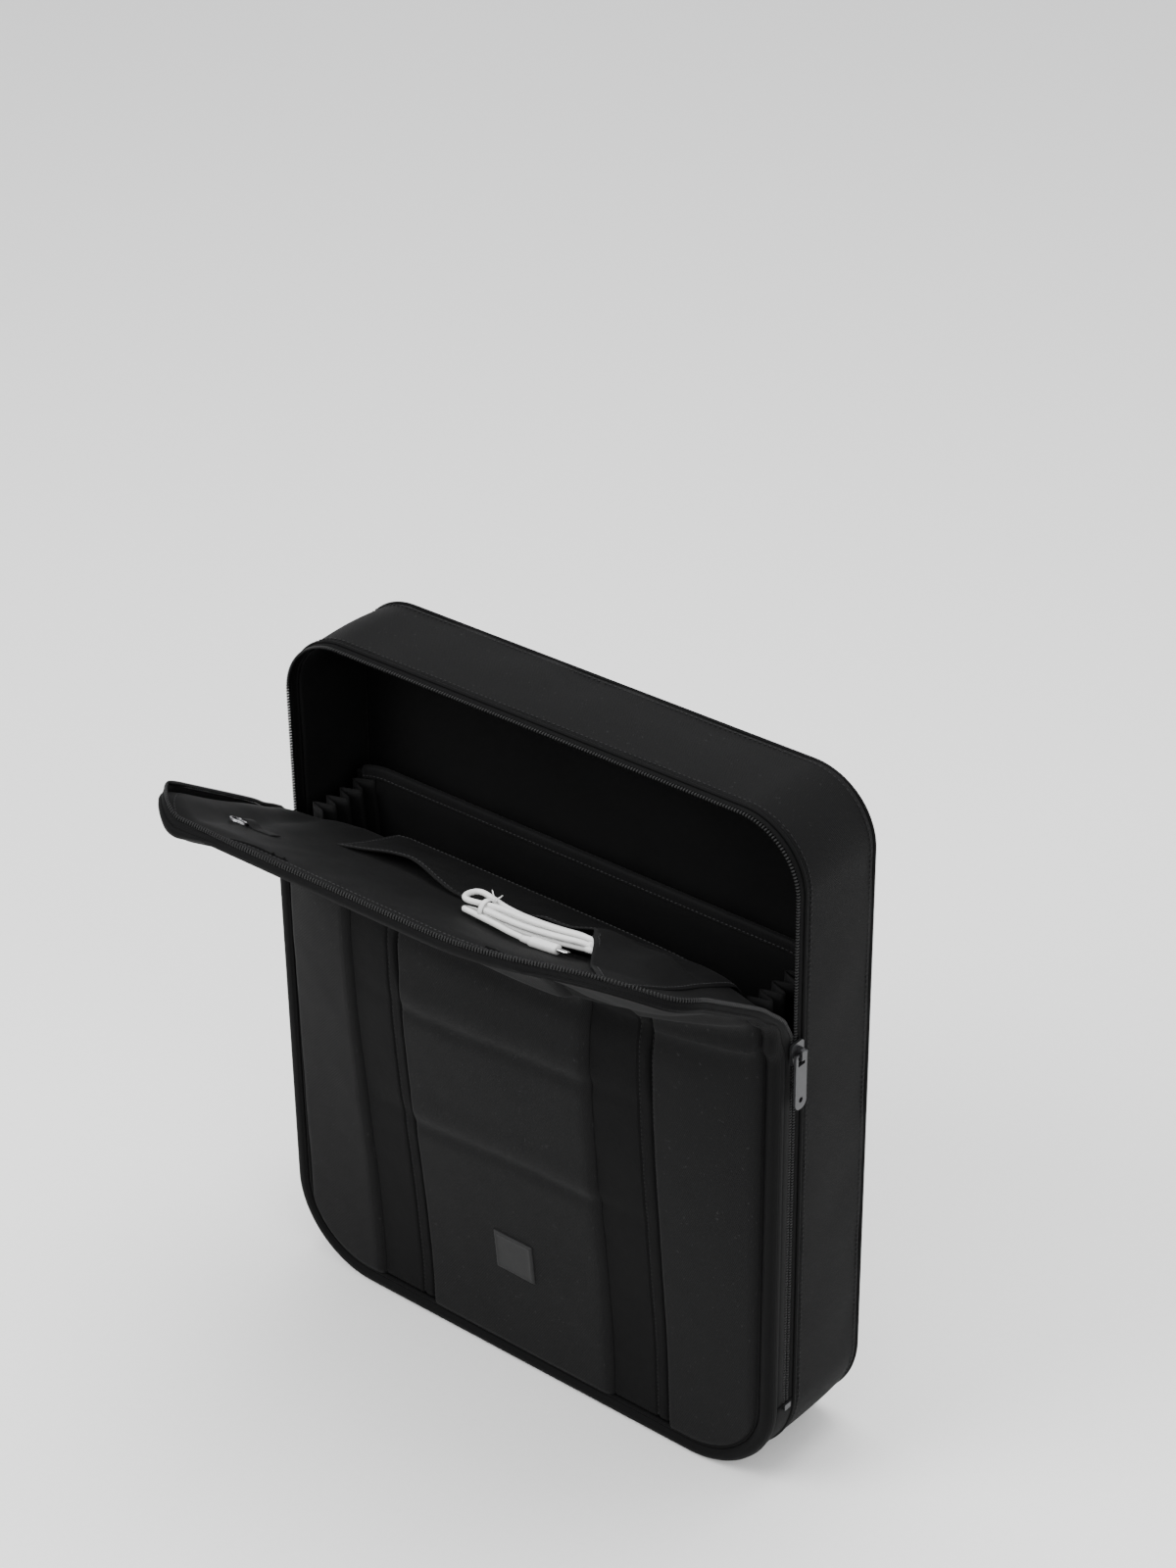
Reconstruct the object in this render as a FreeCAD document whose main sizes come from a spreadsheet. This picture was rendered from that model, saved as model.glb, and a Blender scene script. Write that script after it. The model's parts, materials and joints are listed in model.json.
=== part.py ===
"""Soft front organizer pouch of a cabin case: a padded front panel whose upper part unzips and folds
forward as a flap, a compartment behind it with a laptop sleeve, and a cable kept in the flap's pocket.

Frame: millimetres, +X to the right seen from the front, -Y out of the front face, +Z up.
The origin is the middle of the flat base. Flap pieces are drawn closed, then folded forward together.
"""
import FreeCAD, Part
import os
import re

import Sketcher

SIZES = {
    "half_width": 188.0,     # outer half width of the pouch
    "tall": 444.0,           # outer height
    "bottom_radius": 60.0,   # outline radius of the two lower corners
    "top_radius": 42.0,      # outline radius of the two upper corners
    "front_face": -44.0,     # outer face of the front panel
    "back_face": 44.0,       # outer face of the back panel
    "zip_plane": -28.0,      # plane where the two zip chains meet
    "chain_gap": 0.6,        # each chain's distance from that plane
    "coil_deep": 2.2,        # coil size across the zip
    "tape_deep": 5.5,        # tape width that shows beside a coil
    "zip_end": 60.0,         # height of the zip's lower ends
    "wall": 3.0,             # padded fabric wall
    "skin": 1.2,             # single fabric layer
    "lip_wide": 10.0,        # width of the strip that frames the front panel
    "seam": 0.3,             # gap between pieces that are sewn edge to edge
    "panel_thick": 6.0,      # front panel fabric and its facing
    "band_recess": 2.5,      # the two upright bands lie this much deeper
    "band_inner": 72.0,      # bands' edges beside the centre panel
    "band_outer": 114.0,     # bands' edges beside the side panels
    "foam_thick": 4.0,       # foam behind the lower front panel
    "flap_foam_thick": 10.0, # thicker foam in the flap
    "fold_height": 300.0,    # height of the line where the flap folds
    "flap_angle": 57.0,      # how far the flap is folded forward
    "divider_face": 14.5,    # front face of the laptop divider
    "divider_top": 340.0,    # its upper edge
    "divider_half": 174.0,   # its half width
    "pleat_out": 172.0,      # bellows' outer folds, from the middle
    "pleat_in": 156.0,       # bellows' inner folds
    "pocket_deep": 16.0,     # how far the slip pocket stands off the lining
    "slider_height": 307.0,  # height of the pulls' pivots
    "pull_long": 36.0,       # pull, pivot to tip
    "ring_radius": 6.2,      # key ring, to the middle of its wire
    "ring_wire": 0.8,        # radius of that wire
    "eye_reach": 90.0,       # the key ring's webbing eye, from the fold
    "plug_reach": 91.0,      # the cable's front plug, from the fold
}
LIP_BACK = "(zip_plane - chain_gap - coil_deep - tape_deep)"
FRONT_COIL = ("(zip_plane - chain_gap - coil_deep)", "(zip_plane - chain_gap)")
FRONT_TAPE = (LIP_BACK, FRONT_COIL[0])
REAR_COIL = ("(zip_plane + chain_gap)", "(zip_plane + chain_gap + coil_deep)")
REAR_TAPE = (REAR_COIL[1], "(zip_plane + chain_gap + coil_deep + tape_deep)")
PANEL_BACK = "(front_face + panel_thick)"
FLAP_LINING = f"({PANEL_BACK} + flap_foam_thick)"
FLAP_INSIDE = f"({FLAP_LINING} + skin)"
PANEL_INSET = "(lip_wide + seam)"
LOWER = ("-1", "fold_height - seam")
UPPER = ("fold_height + seam", "tall + 1")
ALL_X = ("-(half_width + 3)", "half_width + 3")
ALL_Y = ("front_face - 5", "back_face + 5")
SIDES = {"right": 1, "left": -1}
ACROSS, DEPTH, UPRIGHT = FreeCAD.Vector(1, 0, 0), FreeCAD.Vector(0, 1, 0), FreeCAD.Vector(0, 0, 1)

doc = FreeCAD.newDocument("organizer_pouch")
nodes = []


def formula(text):
    """Names of sizes in a text become references to the sheet's cells."""
    return re.sub(r"[a-z_]+", lambda word: "Sizes." * (word.group() in SIZES) + word.group(), str(text))


def size(name):
    """One driving dimension, read from the sheet."""
    return float(sheet.get(name))


def make_sheet():
    """The driving dimensions, one row each."""
    table = doc.addObject("Spreadsheet::Sheet", "Sizes")
    for row, (name, number) in enumerate(SIZES.items(), start=1):
        table.set(f"A{row}", name)
        table.set(f"B{row}", str(number))
        table.setAlias(f"B{row}", name)
    doc.recompute()
    return table


def keep(piece, label):
    """Names a finished piece, so that it is checked and exported."""
    piece.Label = label
    nodes.append(piece)
    return piece


def bind(piece, bindings):
    """Ties properties of a piece to the sheet."""
    for prop, text in bindings.items():
        piece.setExpression(prop, formula(text))


def mirrored(sign, low, high):
    """A range across the pouch for its right side, or its mirror image for the left."""
    return (low, high) if sign > 0 else (f"-({high})", f"-({low})")


def box(name, x, y, z):
    """A block between two corners, given as (low, high) pairs of formulas."""
    block = doc.addObject("Part::Box", name)
    for prop, axis, (low, high) in (("Length", "x", x), ("Width", "y", y), ("Height", "z", z)):
        bind(block, {prop: f"({high}) - ({low})", f"Placement.Base.{axis}": low})
    return block


def boolean(kind, name, base, tool):
    """Part::Cut, Part::Common or Part::Fuse of two pieces."""
    result = doc.addObject("Part::" + kind, name)
    result.Base = base
    result.Tool = tool
    return result


def runs_along(edge, axis):
    """True where a straight edge is parallel to an axis."""
    along = edge.Vertexes[-1].Point - edge.Vertexes[0].Point
    return along.Length > 0 and abs(abs(along.normalize().dot(axis)) - 1) < 1e-6


def along_edges(axis, radius, out=0, low=False):
    """A rule for rounded: the edges along one axis, or only those on the outer side or at the low end."""

    def rule(edge):
        centre = edge.CenterOfMass
        if not runs_along(edge, axis):
            return None
        if out and out * centre.x < size("half_width") + 3:
            return None
        if low and centre.z > size("slider_height") - 15:
            return None
        return radius

    return rule


def cylinder(name, radius, length, start, axis, sign=1):
    """A round bar or hole from a start point along an axis."""
    bar = doc.addObject("Part::Cylinder", name)
    bar.Placement.Rotation = FreeCAD.Rotation(FreeCAD.Vector(0, 0, 1), axis * sign)
    bind(bar, {"Radius": radius, "Height": length})
    bind(bar, {f"Placement.Base.{letter}": place for letter, place in zip("xyz", start)})
    return bar


def rounded(name, base, radius_of):
    """Rounds the edges for which radius_of gives a radius."""
    doc.recompute()
    result = doc.addObject("Part::Fillet", name)
    result.Base = base
    radii = [(number, radius_of(edge)) for number, edge in enumerate(base.Shape.Edges, start=1)]
    result.Edges = [(number, radius, radius) for number, radius in radii if radius]
    return result


def slab(name, inset, front, back):
    """A plate with the pouch's outline, drawn in from it by inset."""
    block = box(
        name + "_block",
        (f"({inset}) - half_width", f"half_width - ({inset})"),
        (front, back),
        (inset, f"tall - ({inset})"),
    )
    doc.recompute()
    inward = block.Shape.BoundBox.ZMin
    middle = block.Shape.BoundBox.Center.z

    def corner(edge):
        if not runs_along(edge, DEPTH):
            return None
        return size("bottom_radius" if edge.CenterOfMass.z < middle else "top_radius") - inward

    return rounded(name + "_slab", block, corner)


def ring(name, outer, inner, front, back):
    """A wall that follows the outline, between two insets."""
    hole = slab(name + "_hole", inner, f"{front} - 1", f"{back} + 1")
    return boolean("Cut", name + "_ring", slab(name, outer, front, back), hole)


def clipped(name, piece, x=ALL_X, y=ALL_Y, z=("-1", "tall + 1")):
    """The part of a piece inside a block."""
    return boolean("Common", name + "_part", piece, box(name + "_clip", x, y, z))


def folded(y, z):
    """Where the flap's fold takes a point of the closed flap: formulas for its y and z."""
    out, along = f"(({y}) - front_face)", f"(({z}) - fold_height)"
    sine, cosine = "sin(flap_angle * 1deg)", "cos(flap_angle * 1deg)"
    y = f"front_face + {out} * {cosine} - {along} * {sine}"
    z = f"fold_height + {out} * {sine} + {along} * {cosine}"
    return y, z


def fold_forward(piece, depth="0"):
    """Folds a piece that was drawn closed, depth in front of where it belongs, with the flap."""
    piece.Placement.Rotation = FreeCAD.Rotation(FreeCAD.Vector(1, 0, 0), size("flap_angle"))
    y, z = folded(depth, "0")
    bind(piece, {"Placement.Rotation.Angle": "flap_angle", "Placement.Base.y": y, "Placement.Base.z": z})
    return piece


def origin_plane(body, role):
    """One of a body's own origin planes."""
    return next(plane for plane in body.Origin.OriginFeatures if plane.Role == role)


def outline_sketch(body, name, points):
    """A closed outline of straight lines on the body's XZ plane."""
    sketch = body.newObject("Sketcher::SketchObject", name)
    sketch.AttachmentSupport = [(origin_plane(body, "XZ_Plane"), "")]
    sketch.MapMode = "FlatFace"
    corners = [FreeCAD.Vector(x, z, 0) for x, z in points]
    for start, end in zip(corners, corners[1:] + corners[:1]):
        sketch.addGeometry(Part.LineSegment(start, end))
    for number in range(len(corners)):
        follower = (number + 1) % len(corners)
        sketch.addConstraint(Sketcher.Constraint("Coincident", number, 2, follower, 1))
    return sketch


def plate_body(name, points, thick):
    """A plate of any outline, from the XZ plane towards +Y; thick is a formula."""
    body = doc.addObject("PartDesign::Body", name)
    pad = body.newObject("PartDesign::Pad", name + "_pad")
    pad.Profile = outline_sketch(body, name + "_outline", points)
    pad.Reversed = True
    bind(pad, {"Length": thick})
    body.Tip = pad
    return body


def cut_into(body, name, sketch, depth):
    """A pocket from the XZ plane towards +Y, which has to remove something."""
    doc.recompute()
    before = body.Shape.Volume
    pocket = body.newObject("PartDesign::Pocket", name)
    pocket.Profile = sketch
    bind(pocket, {"Length": depth})
    body.Tip = pocket
    doc.recompute()
    if body.Shape.Volume > before - 0.1:
        raise SystemExit(f"{name} cuts nothing")


def make_walls():
    """Gusset, back panel, its stiffening board and the lining of the rear compartment."""
    keep(ring("gusset", 0, "wall", REAR_TAPE[1], "back_face - wall"), "gusset_rear")
    keep(slab("back", 0, "back_face - wall", "back_face"), "back_panel")
    keep(slab("board", "wall + skin", "back_face - wall - 1.8", "back_face - wall"), "back_board")
    shell = slab("lining", "wall + 0.2", f"{REAR_TAPE[1]} + 0.3", "back_face - wall - 1.8")
    hollow = slab("hollow", "wall + 0.2 + skin", f"{REAR_TAPE[1]} - 1", "back_face - wall - 1.8 - skin")
    keep(boolean("Cut", "lining_tub", shell, hollow), "compartment_lining")


def make_front_panel(prefix, height, foam, turn):
    """Outer panels, bands, foam and lining of the front, for the part within a height range."""
    columns = {
        "panel_left": ("-(half_width)", "-(band_outer + seam)"),
        "band_left": ("-band_outer", "-(band_inner + seam)"),
        "panel_center": ("-band_inner", "band_inner"),
        "band_right": ("band_inner + seam", "band_outer"),
        "panel_right": ("band_outer + seam", "half_width"),
    }
    for column, across in columns.items():
        face = "front_face + band_recess" if "band" in column else "front_face"
        name = f"{prefix}_{column}"
        whole = slab(name, PANEL_INSET, face, PANEL_BACK)
        keep(turn(clipped(name, whole, x=across, z=height)), name)
    layers = {
        "foam": (PANEL_BACK, f"{PANEL_BACK} + {foam}"),
        "lining": (f"{PANEL_BACK} + {foam}", f"{PANEL_BACK} + {foam} + skin"),
    }
    for layer, (front, back) in layers.items():
        name = f"{prefix}_{layer}"
        keep(turn(clipped(name, slab(name, PANEL_INSET, front, back), z=height)), name)
    name = f"{prefix}_edge_strip"
    keep(turn(clipped(name, ring(name, 0, "lip_wide", "front_face", LIP_BACK), z=height)), name)


def make_zips():
    """Tapes and coils: the rear pair round the mouth, the front pair on the panel and on the flap."""
    tape = ("0.8", "0.8 + skin")
    coil = ("0.2", "0.2 + coil_deep + 0.2")
    above_end = ("zip_end", "tall + 1")
    keep(clipped("tape_rear", ring("tape_rear", *tape, *REAR_TAPE), z=above_end), "zip_tape_rear")
    keep(clipped("coil_rear", ring("coil_rear", *coil, *REAR_COIL), z=above_end), "zip_coil_rear")
    zipped = ("zip_end", "fold_height - seam")
    for side, sign in SIDES.items():
        half = mirrored(sign, "1", "half_width + 1")
        for layer, insets, depth in (("tape", tape, FRONT_TAPE), ("coil", coil, FRONT_COIL)):
            name = f"zip_{layer}_front_{side}"
            keep(clipped(name, ring(name, *insets, *depth), x=half, z=zipped), name)
        name = f"zip_stop_{side}"
        block = box(
            name + "_block",
            mirrored(sign, "half_width - 4.5", "half_width + 0.8"),
            (FRONT_COIL[0], REAR_COIL[1]),
            ("zip_end - 4.2", "zip_end - 0.2"),
        )
        keep(rounded(name, block, along_edges(ACROSS, 0.6)), name)
    for layer, insets, depth in (("tape", tape, FRONT_TAPE), ("coil", coil, FRONT_COIL)):
        name = f"zip_{layer}_flap"
        keep(fold_forward(clipped(name, ring(name, *insets, *depth), z=UPPER)), name)
    bridge = ring("bridge", *tape, LIP_BACK, REAR_TAPE[1])
    keep(clipped("bridge", bridge, z=("-1", "zip_end - 4.5")), "bottom_seam_tape")


def make_sleeve():
    """Laptop divider, the binding on its top edge and the pleated sides of the sleeve."""
    low = "wall + 0.2 + skin + seam"
    block = box(
        "divider_block",
        ("-divider_half", "divider_half"),
        ("divider_face", "divider_face + wall"),
        (low, "divider_top"),
    )

    def corner(edge):
        if not runs_along(edge, DEPTH):
            return None
        return size("bottom_radius") - 6 if edge.CenterOfMass.z < size("divider_top") / 2 else 12.0

    keep(rounded("divider", block, corner), "laptop_divider")
    hem = box(
        "hem",
        ("14 - divider_half", "divider_half - 14"),
        ("divider_face - 1", "divider_face + wall + 1"),
        ("divider_top", "divider_top + 3"),
    )

    def crest(edge):
        high = edge.CenterOfMass.z > size("divider_top") + 1
        return 1.2 if high and runs_along(edge, ACROSS) else None

    keep(rounded("hem_round", hem, crest), "divider_binding")
    for side, sign in SIDES.items():
        keep(bellows(side, sign), f"sleeve_bellows_{side}")


def bellows(side, sign):
    """A pleated strip from the front lining back to the divider; its top edge slopes down to the front."""
    skin, seam = size("skin"), size("seam")
    front = size("front_face") + size("panel_thick") + size("foam_thick") + skin + seam
    back = size("divider_face") - seam
    front_top, back_top = 291, 334
    folds = 6
    near = []
    for fold in range(folds + 1):
        across = size("pleat_out" if fold % 2 == 0 else "pleat_in")
        near.append((sign * across, front + (back - front) * fold / folds))
    far = [(x - sign * 2.4 * skin, y) for x, y in reversed(near)]
    wire = Part.makePolygon([FreeCAD.Vector(x, y, 0) for x, y in near + far + near[:1]])
    strip = doc.addObject("Part::Feature", f"bellows_{side}_strip")
    strip.Shape = Part.Face(wire).extrude(FreeCAD.Vector(0, 0, size("divider_top")))
    low = size("bottom_radius") + 4
    near_y, far_y = front - 1, back + 1
    corners = ((near_y, low), (far_y, low), (far_y, back_top), (near_y, front_top), (near_y, low))
    slope = Part.makePolygon([FreeCAD.Vector(0, y, z) for y, z in corners])
    limit = doc.addObject("Part::Feature", f"bellows_{side}_limit")
    limit.Shape = Part.Face(slope).extrude(FreeCAD.Vector(sign * size("half_width"), 0, 0))
    return boolean("Common", f"bellows_{side}", strip, limit)


def make_patch():
    """A plain square patch on the centre panel."""
    block = box("patch_block", ("-15", "15"), ("front_face - 1.4", "front_face"), ("73", "102"))
    keep(rounded("patch_corners", block, along_edges(DEPTH, 1.5)), "patch")


def make_pocket():
    """Slip pocket on the flap's lining, open towards the flap's free edge, and the binding on its mouth."""
    rim = size("skin")
    fold = size("fold_height")
    left, right = -100.0, 150.0
    root, mouth = fold + 10, fold + 62
    turn_x, turn_z = 92.0, fold + 66
    end_x, end_z = 128.0, fold + 118
    outer = [(left, root), (right, root), (right, end_z), (end_x, end_z), (turn_x, turn_z), (left, mouth)]
    shifts = [(rim, rim), (-rim, rim), (-rim, rim), (-rim, rim), (-rim, rim), (rim, rim)]
    inner = [(x + across, z + up) for (x, z), (across, up) in zip(outer, shifts)]
    body = plate_body("slip_pocket", outer, "pocket_deep")
    inside = outline_sketch(body, "slip_pocket_inside", inner)
    cut_into(body, "slip_pocket_space", inside, "pocket_deep - skin")
    keep(fold_forward(body, FLAP_INSIDE), "slip_pocket")
    top = f"{FLAP_INSIDE} + pocket_deep"
    block = box(
        "binding_block",
        (left, turn_x - 4),
        (f"{top} - 2.2", f"{top} + 0.8"),
        (mouth + 4.3, mouth + 6.3),
    )
    keep(fold_forward(rounded("binding_round", block, along_edges(ACROSS, 0.8))), "pocket_binding")


def make_key_holder():
    """Webbing tab on the flap's lining and the wire ring in its eye."""
    eye_x, eye_z = -141.6, "fold_height + eye_reach"
    eye_y = f"{FLAP_INSIDE} + 2.6"
    tab = box(
        "tab_block",
        (eye_x - 2.6, eye_x + 12),
        (FLAP_INSIDE, f"{FLAP_INSIDE} + 5.2"),
        (f"{eye_z} - 2.2", f"{eye_z} + 2.2"),
    )
    tab_round = rounded("tab_round", tab, along_edges(UPRIGHT, 1.5))
    eye = cylinder("tab_eye", "ring_wire * 2", "6", (eye_x, eye_y, f"{eye_z} - 3"), UPRIGHT)
    keep(fold_forward(boolean("Cut", "tab_cut", tab_round, eye)), "key_tab")
    wire = doc.addObject("Part::Torus", "ring_wire")
    wire.Placement.Rotation = FreeCAD.Rotation(FreeCAD.Vector(1, 0, 0), 90)
    y, z = folded(eye_y, eye_z)
    bind(
        wire,
        {
            "Radius1": "ring_radius",
            "Radius2": "ring_wire",
            "Placement.Rotation.Angle": "flap_angle + 90",
            "Placement.Base.x": f"{eye_x} - ring_radius",
            "Placement.Base.y": y,
            "Placement.Base.z": z,
        },
    )
    keep(wire, "key_ring")


def make_slider(side, sign):
    """Zip slider: plates outside and inside the chain, the neck between them and the pull's bail."""
    def place(shift):
        return mirrored(sign, f"half_width + ({shift})", f"half_width + ({shift})")[0]

    def block(part, x, y, z):
        return box(
            f"slider_{side}_{part}",
            mirrored(sign, f"half_width + ({x[0]})", f"half_width + ({x[1]})"),
            (f"zip_plane - {y}", f"zip_plane + {y}"),
            (f"slider_height + ({z[0]})", f"slider_height + ({z[1]})"),
        )

    hinge_x = place(3.7)
    corners = along_edges(ACROSS, 2.5)
    outer = rounded(f"slider_{side}_outer_round", block("outer", (0.1, 1.8), 5.5, (-7, 7)), corners)
    inner = rounded(f"slider_{side}_inner_round", block("inner", (-4.3, -2.9), 5.5, (-7, 7)), corners)
    neck = block("neck", (-2.9, 0.1), 0.3, (1, 6))
    arch = block("bail", (1.8, 5.9), 1.5, (-4, 4))
    bail = rounded(f"slider_{side}_bail_round", arch, along_edges(DEPTH, 1.6, out=sign))
    solid = doc.addObject("Part::MultiFuse", f"slider_{side}_solid")
    solid.Shapes = [outer, inner, neck, bail]
    hole = cylinder(
        f"slider_{side}_hole", "1.4", "6", (hinge_x, "zip_plane - 3", "slider_height"), DEPTH
    )
    keep(boolean("Cut", f"slider_{side}_cut", solid, hole), f"slider_{side}")
    pull_x = (2.9, 4.5)
    tongue = block("leaf", pull_x, 5, ("-pull_long", -7))
    leaf = rounded(f"pull_{side}_leaf_round", tongue, along_edges(ACROSS, 4.4, low=True))
    arms = [
        box(
            f"pull_{side}_arm_{end}",
            mirrored(sign, f"half_width + ({pull_x[0]})", f"half_width + ({pull_x[1]})"),
            (f"zip_plane + {4 * end - 1}", f"zip_plane + {4 * end + 1}"),
            ("slider_height - 8", "slider_height + 1"),
        )
        for end in (-1, 1)
    ]
    bar = cylinder(f"pull_{side}_bar", "1", "10", (hinge_x, "zip_plane - 5", "slider_height"), DEPTH)
    pull = doc.addObject("Part::MultiFuse", f"pull_{side}_solid")
    pull.Shapes = [leaf, *arms, bar]
    eye_at = (place(0), "zip_plane", "slider_height - pull_long + 6")
    eye = cylinder(f"pull_{side}_eye", "1.7", "8", eye_at, ACROSS, sign)
    keep(boolean("Cut", f"pull_{side}_cut", pull, eye), f"pull_{side}")


def make_cable():
    """The folded charging cable at the pocket's mouth: its hank, its tie and its two plugs."""
    lift, thick = 1.5, 8.4
    hank_x, hank_z = (8, 108), (62.8, 86)
    floor = f"{FLAP_INSIDE} + {lift}"

    def wrap(name, x, grow):
        return box(
            name,
            x,
            (f"{floor} - {grow}", f"{floor} + {thick + grow}"),
            (f"fold_height + {hank_z[0] - grow}", f"fold_height + {hank_z[1] + grow}"),
        )

    hank = rounded("hank_round", wrap("hank_block", hank_x, 0), along_edges(ACROSS, 3.4))
    keep(fold_forward(hank), "cable_hank")
    tie = boolean("Cut", "tie", wrap("tie_outer", (24, 27), 1.2), wrap("tie_inner", (23, 28), 0.3))
    keep(fold_forward(tie), "cable_tie")
    plug_y, plug_z = f"{FLAP_INSIDE} + 4.5", "fold_height + plug_reach"
    shell = cylinder("plug_shell", "3", "22", (63, plug_y, plug_z), ACROSS)
    barrel = boolean("Common", "plug_shell_whole", shell, box("plug_room", (55, 95), ALL_Y, UPPER))
    keep(fold_forward(barrel), "cable_plug")
    tip = box(
        "tip_block",
        (85, 92.5),
        (f"{plug_y} - 1.2", f"{plug_y} + 1.2"),
        (f"{plug_z} - 2.6", f"{plug_z} + 2.6"),
    )
    keep(fold_forward(rounded("tip_round", tip, along_edges(ACROSS, 1.1))), "cable_plug_tip")
    far = box(
        "far_block",
        (108.3, 136),
        (floor, f"{floor} + 7"),
        (f"fold_height + {hank_z[0]}", f"fold_height + {hank_z[0]} + 12.2"),
    )
    keep(fold_forward(rounded("far_round", far, along_edges(ACROSS, 2))), "cable_far_plug")


def check():
    """Every step of the design has to have worked, and every piece has to be a sound solid."""
    for step in doc.Objects:
        if "Invalid" in step.State or "Error" in step.State:
            raise SystemExit(f"{step.Label} failed: {step.State}")
    for piece in nodes:
        if piece.Shape.isNull() or not piece.Shape.isValid() or not piece.Shape.Solids:
            raise SystemExit(f"{piece.Label} has no sound solid")


def export():
    """One file for each piece."""
    os.makedirs("parts", exist_ok=True)
    for piece in nodes:
        piece.Shape.exportStep(f"parts/{piece.Label}.step")


sheet = make_sheet()
make_walls()
make_front_panel("front", LOWER, "foam_thick", lambda piece: piece)
make_front_panel("flap", UPPER, "flap_foam_thick", fold_forward)
make_zips()
make_sleeve()
make_patch()
make_pocket()
make_key_holder()
for side, sign in SIDES.items():
    make_slider(side, sign)
make_cable()
doc.recompute()
check()
export()
print(len(nodes), "pieces written")
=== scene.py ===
import json
import math

import bmesh
import bpy
import numpy as np
from mathutils import Matrix, Vector, noise


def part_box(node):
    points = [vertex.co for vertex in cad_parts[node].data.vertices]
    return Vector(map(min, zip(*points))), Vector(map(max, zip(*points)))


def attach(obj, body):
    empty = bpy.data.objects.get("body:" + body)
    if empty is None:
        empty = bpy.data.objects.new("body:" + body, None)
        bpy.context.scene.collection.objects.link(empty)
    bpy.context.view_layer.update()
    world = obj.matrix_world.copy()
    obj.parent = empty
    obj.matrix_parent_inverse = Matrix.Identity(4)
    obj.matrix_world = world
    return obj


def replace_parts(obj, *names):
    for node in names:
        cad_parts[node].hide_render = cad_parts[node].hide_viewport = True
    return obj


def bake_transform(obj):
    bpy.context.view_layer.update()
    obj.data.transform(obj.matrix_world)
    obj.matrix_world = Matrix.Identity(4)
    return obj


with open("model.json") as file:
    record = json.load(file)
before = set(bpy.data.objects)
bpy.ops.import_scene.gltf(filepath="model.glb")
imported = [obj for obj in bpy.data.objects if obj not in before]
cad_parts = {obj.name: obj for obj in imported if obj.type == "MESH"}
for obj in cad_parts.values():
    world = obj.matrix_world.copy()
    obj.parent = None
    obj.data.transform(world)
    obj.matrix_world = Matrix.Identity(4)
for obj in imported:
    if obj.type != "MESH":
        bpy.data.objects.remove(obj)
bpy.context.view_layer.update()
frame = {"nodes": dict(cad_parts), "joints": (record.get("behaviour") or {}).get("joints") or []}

# Lengths are in millimetres until a mesh is made. The shell is drawn closed, with the flap upright,
# and folded() then turns the flap forward to its rest angle.
MM = 0.001
HALF, TALL = 188.0, 444.0
LOW_RADIUS, TOP_RADIUS = 60.0, 42.0
FACE, BACK = -44.0, 44.0
FOLD_Z = 300.0
STEP = 3.0
ZIP_FOOT = 60.0
STRIP_WIDE = 10.0
TAPE_Y = -36.3
BAND_IN, BAND_OUT, PANEL_END = 72.0, 114.0, 178.0
TUCKS = (248.0, 162.0)
CORD_THICK = 3.4

fold_joint = next(joint for joint in frame["joints"] if joint["name"] == "flap_fold")
OPEN = -math.radians(fold_joint["range_deg"][0])
BEND_START = np.array([0.0, FACE, 303.0])
BEND_RUN = np.array([0.0, -14.2, 26.4])


# ---------------------------------------------------------------- shape helpers
def smooth(t):
    t = np.clip(t, 0, 1)
    return t * t * (3 - 2 * t)


def hump(t):
    """1 at t = 0, falling smoothly to 0 at t = 1 and -1."""
    return smooth(1 - np.abs(t))


def turned(points, share):
    """Points of the closed shell turned about the fold by a share of its rest angle."""
    angle = OPEN * share
    y, z = points[:, 1] - FACE, points[:, 2] - FOLD_Z
    return np.stack(
        [
            points[:, 0],
            FACE + y * np.cos(angle) - z * np.sin(angle),
            FOLD_Z + y * np.sin(angle) + z * np.cos(angle),
        ],
        1,
    )


def flap_share(points):
    return smooth((points - BEND_START) @ BEND_RUN / (BEND_RUN @ BEND_RUN))


CURL_FROM, CURL_RUN = 14.5, 6.0


def curl(x, reach):
    """How far the open flap's soft corners lift off its plane."""
    near = 1 - np.exp(-np.clip(reach - CURL_FROM, 0, None) / CURL_RUN)
    right = 16.5 * smooth((x - 30) / 150) ** 1.3 * near
    right = right + 3.5 * smooth((x - 160) / 24) * near * smooth((125 - reach) / 30)
    left = 13.0 * smooth((-x - 146) / 36) * near
    return right + left


def folded(points):
    """The closed shell's points at rest, so that closing the flap brings each one back."""
    low, high = np.zeros(len(points)), np.ones(len(points))
    for _ in range(16):
        middle = (low + high) / 2
        more = flap_share(turned(points, middle)) > middle
        low, high = np.where(more, middle, low), np.where(more, high, middle)
    lift = curl(points[:, 0], points[:, 2] - FOLD_Z)
    return turned(points, (low + high) / 2) + FLAP_IN * lift[:, None]


def on_flap(x, lift, reach):
    """A point on the flap at rest: its lift off the outer face and its reach from the fold."""
    x, lift, reach = np.broadcast_arrays(x, lift, reach)
    y = FACE + lift * math.cos(OPEN) - reach * math.sin(OPEN)
    z = FOLD_Z + lift * math.sin(OPEN) + reach * math.cos(OPEN)
    return np.stack([x.ravel(), y.ravel(), z.ravel()], 1)


FLAP_IN = np.array([0.0, math.cos(OPEN), math.sin(OPEN)])
FLAP_OUTWARD = np.array([0.0, -math.sin(OPEN), math.cos(OPEN)])


def uneven(points, size, seed=0.0):
    """Smooth unevenness from -1 to 1 about as wide as size, the same at every run."""
    return np.array([noise.noise(Vector((p[0] / size + seed, p[1] / size, p[2] / size))) for p in points])


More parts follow.
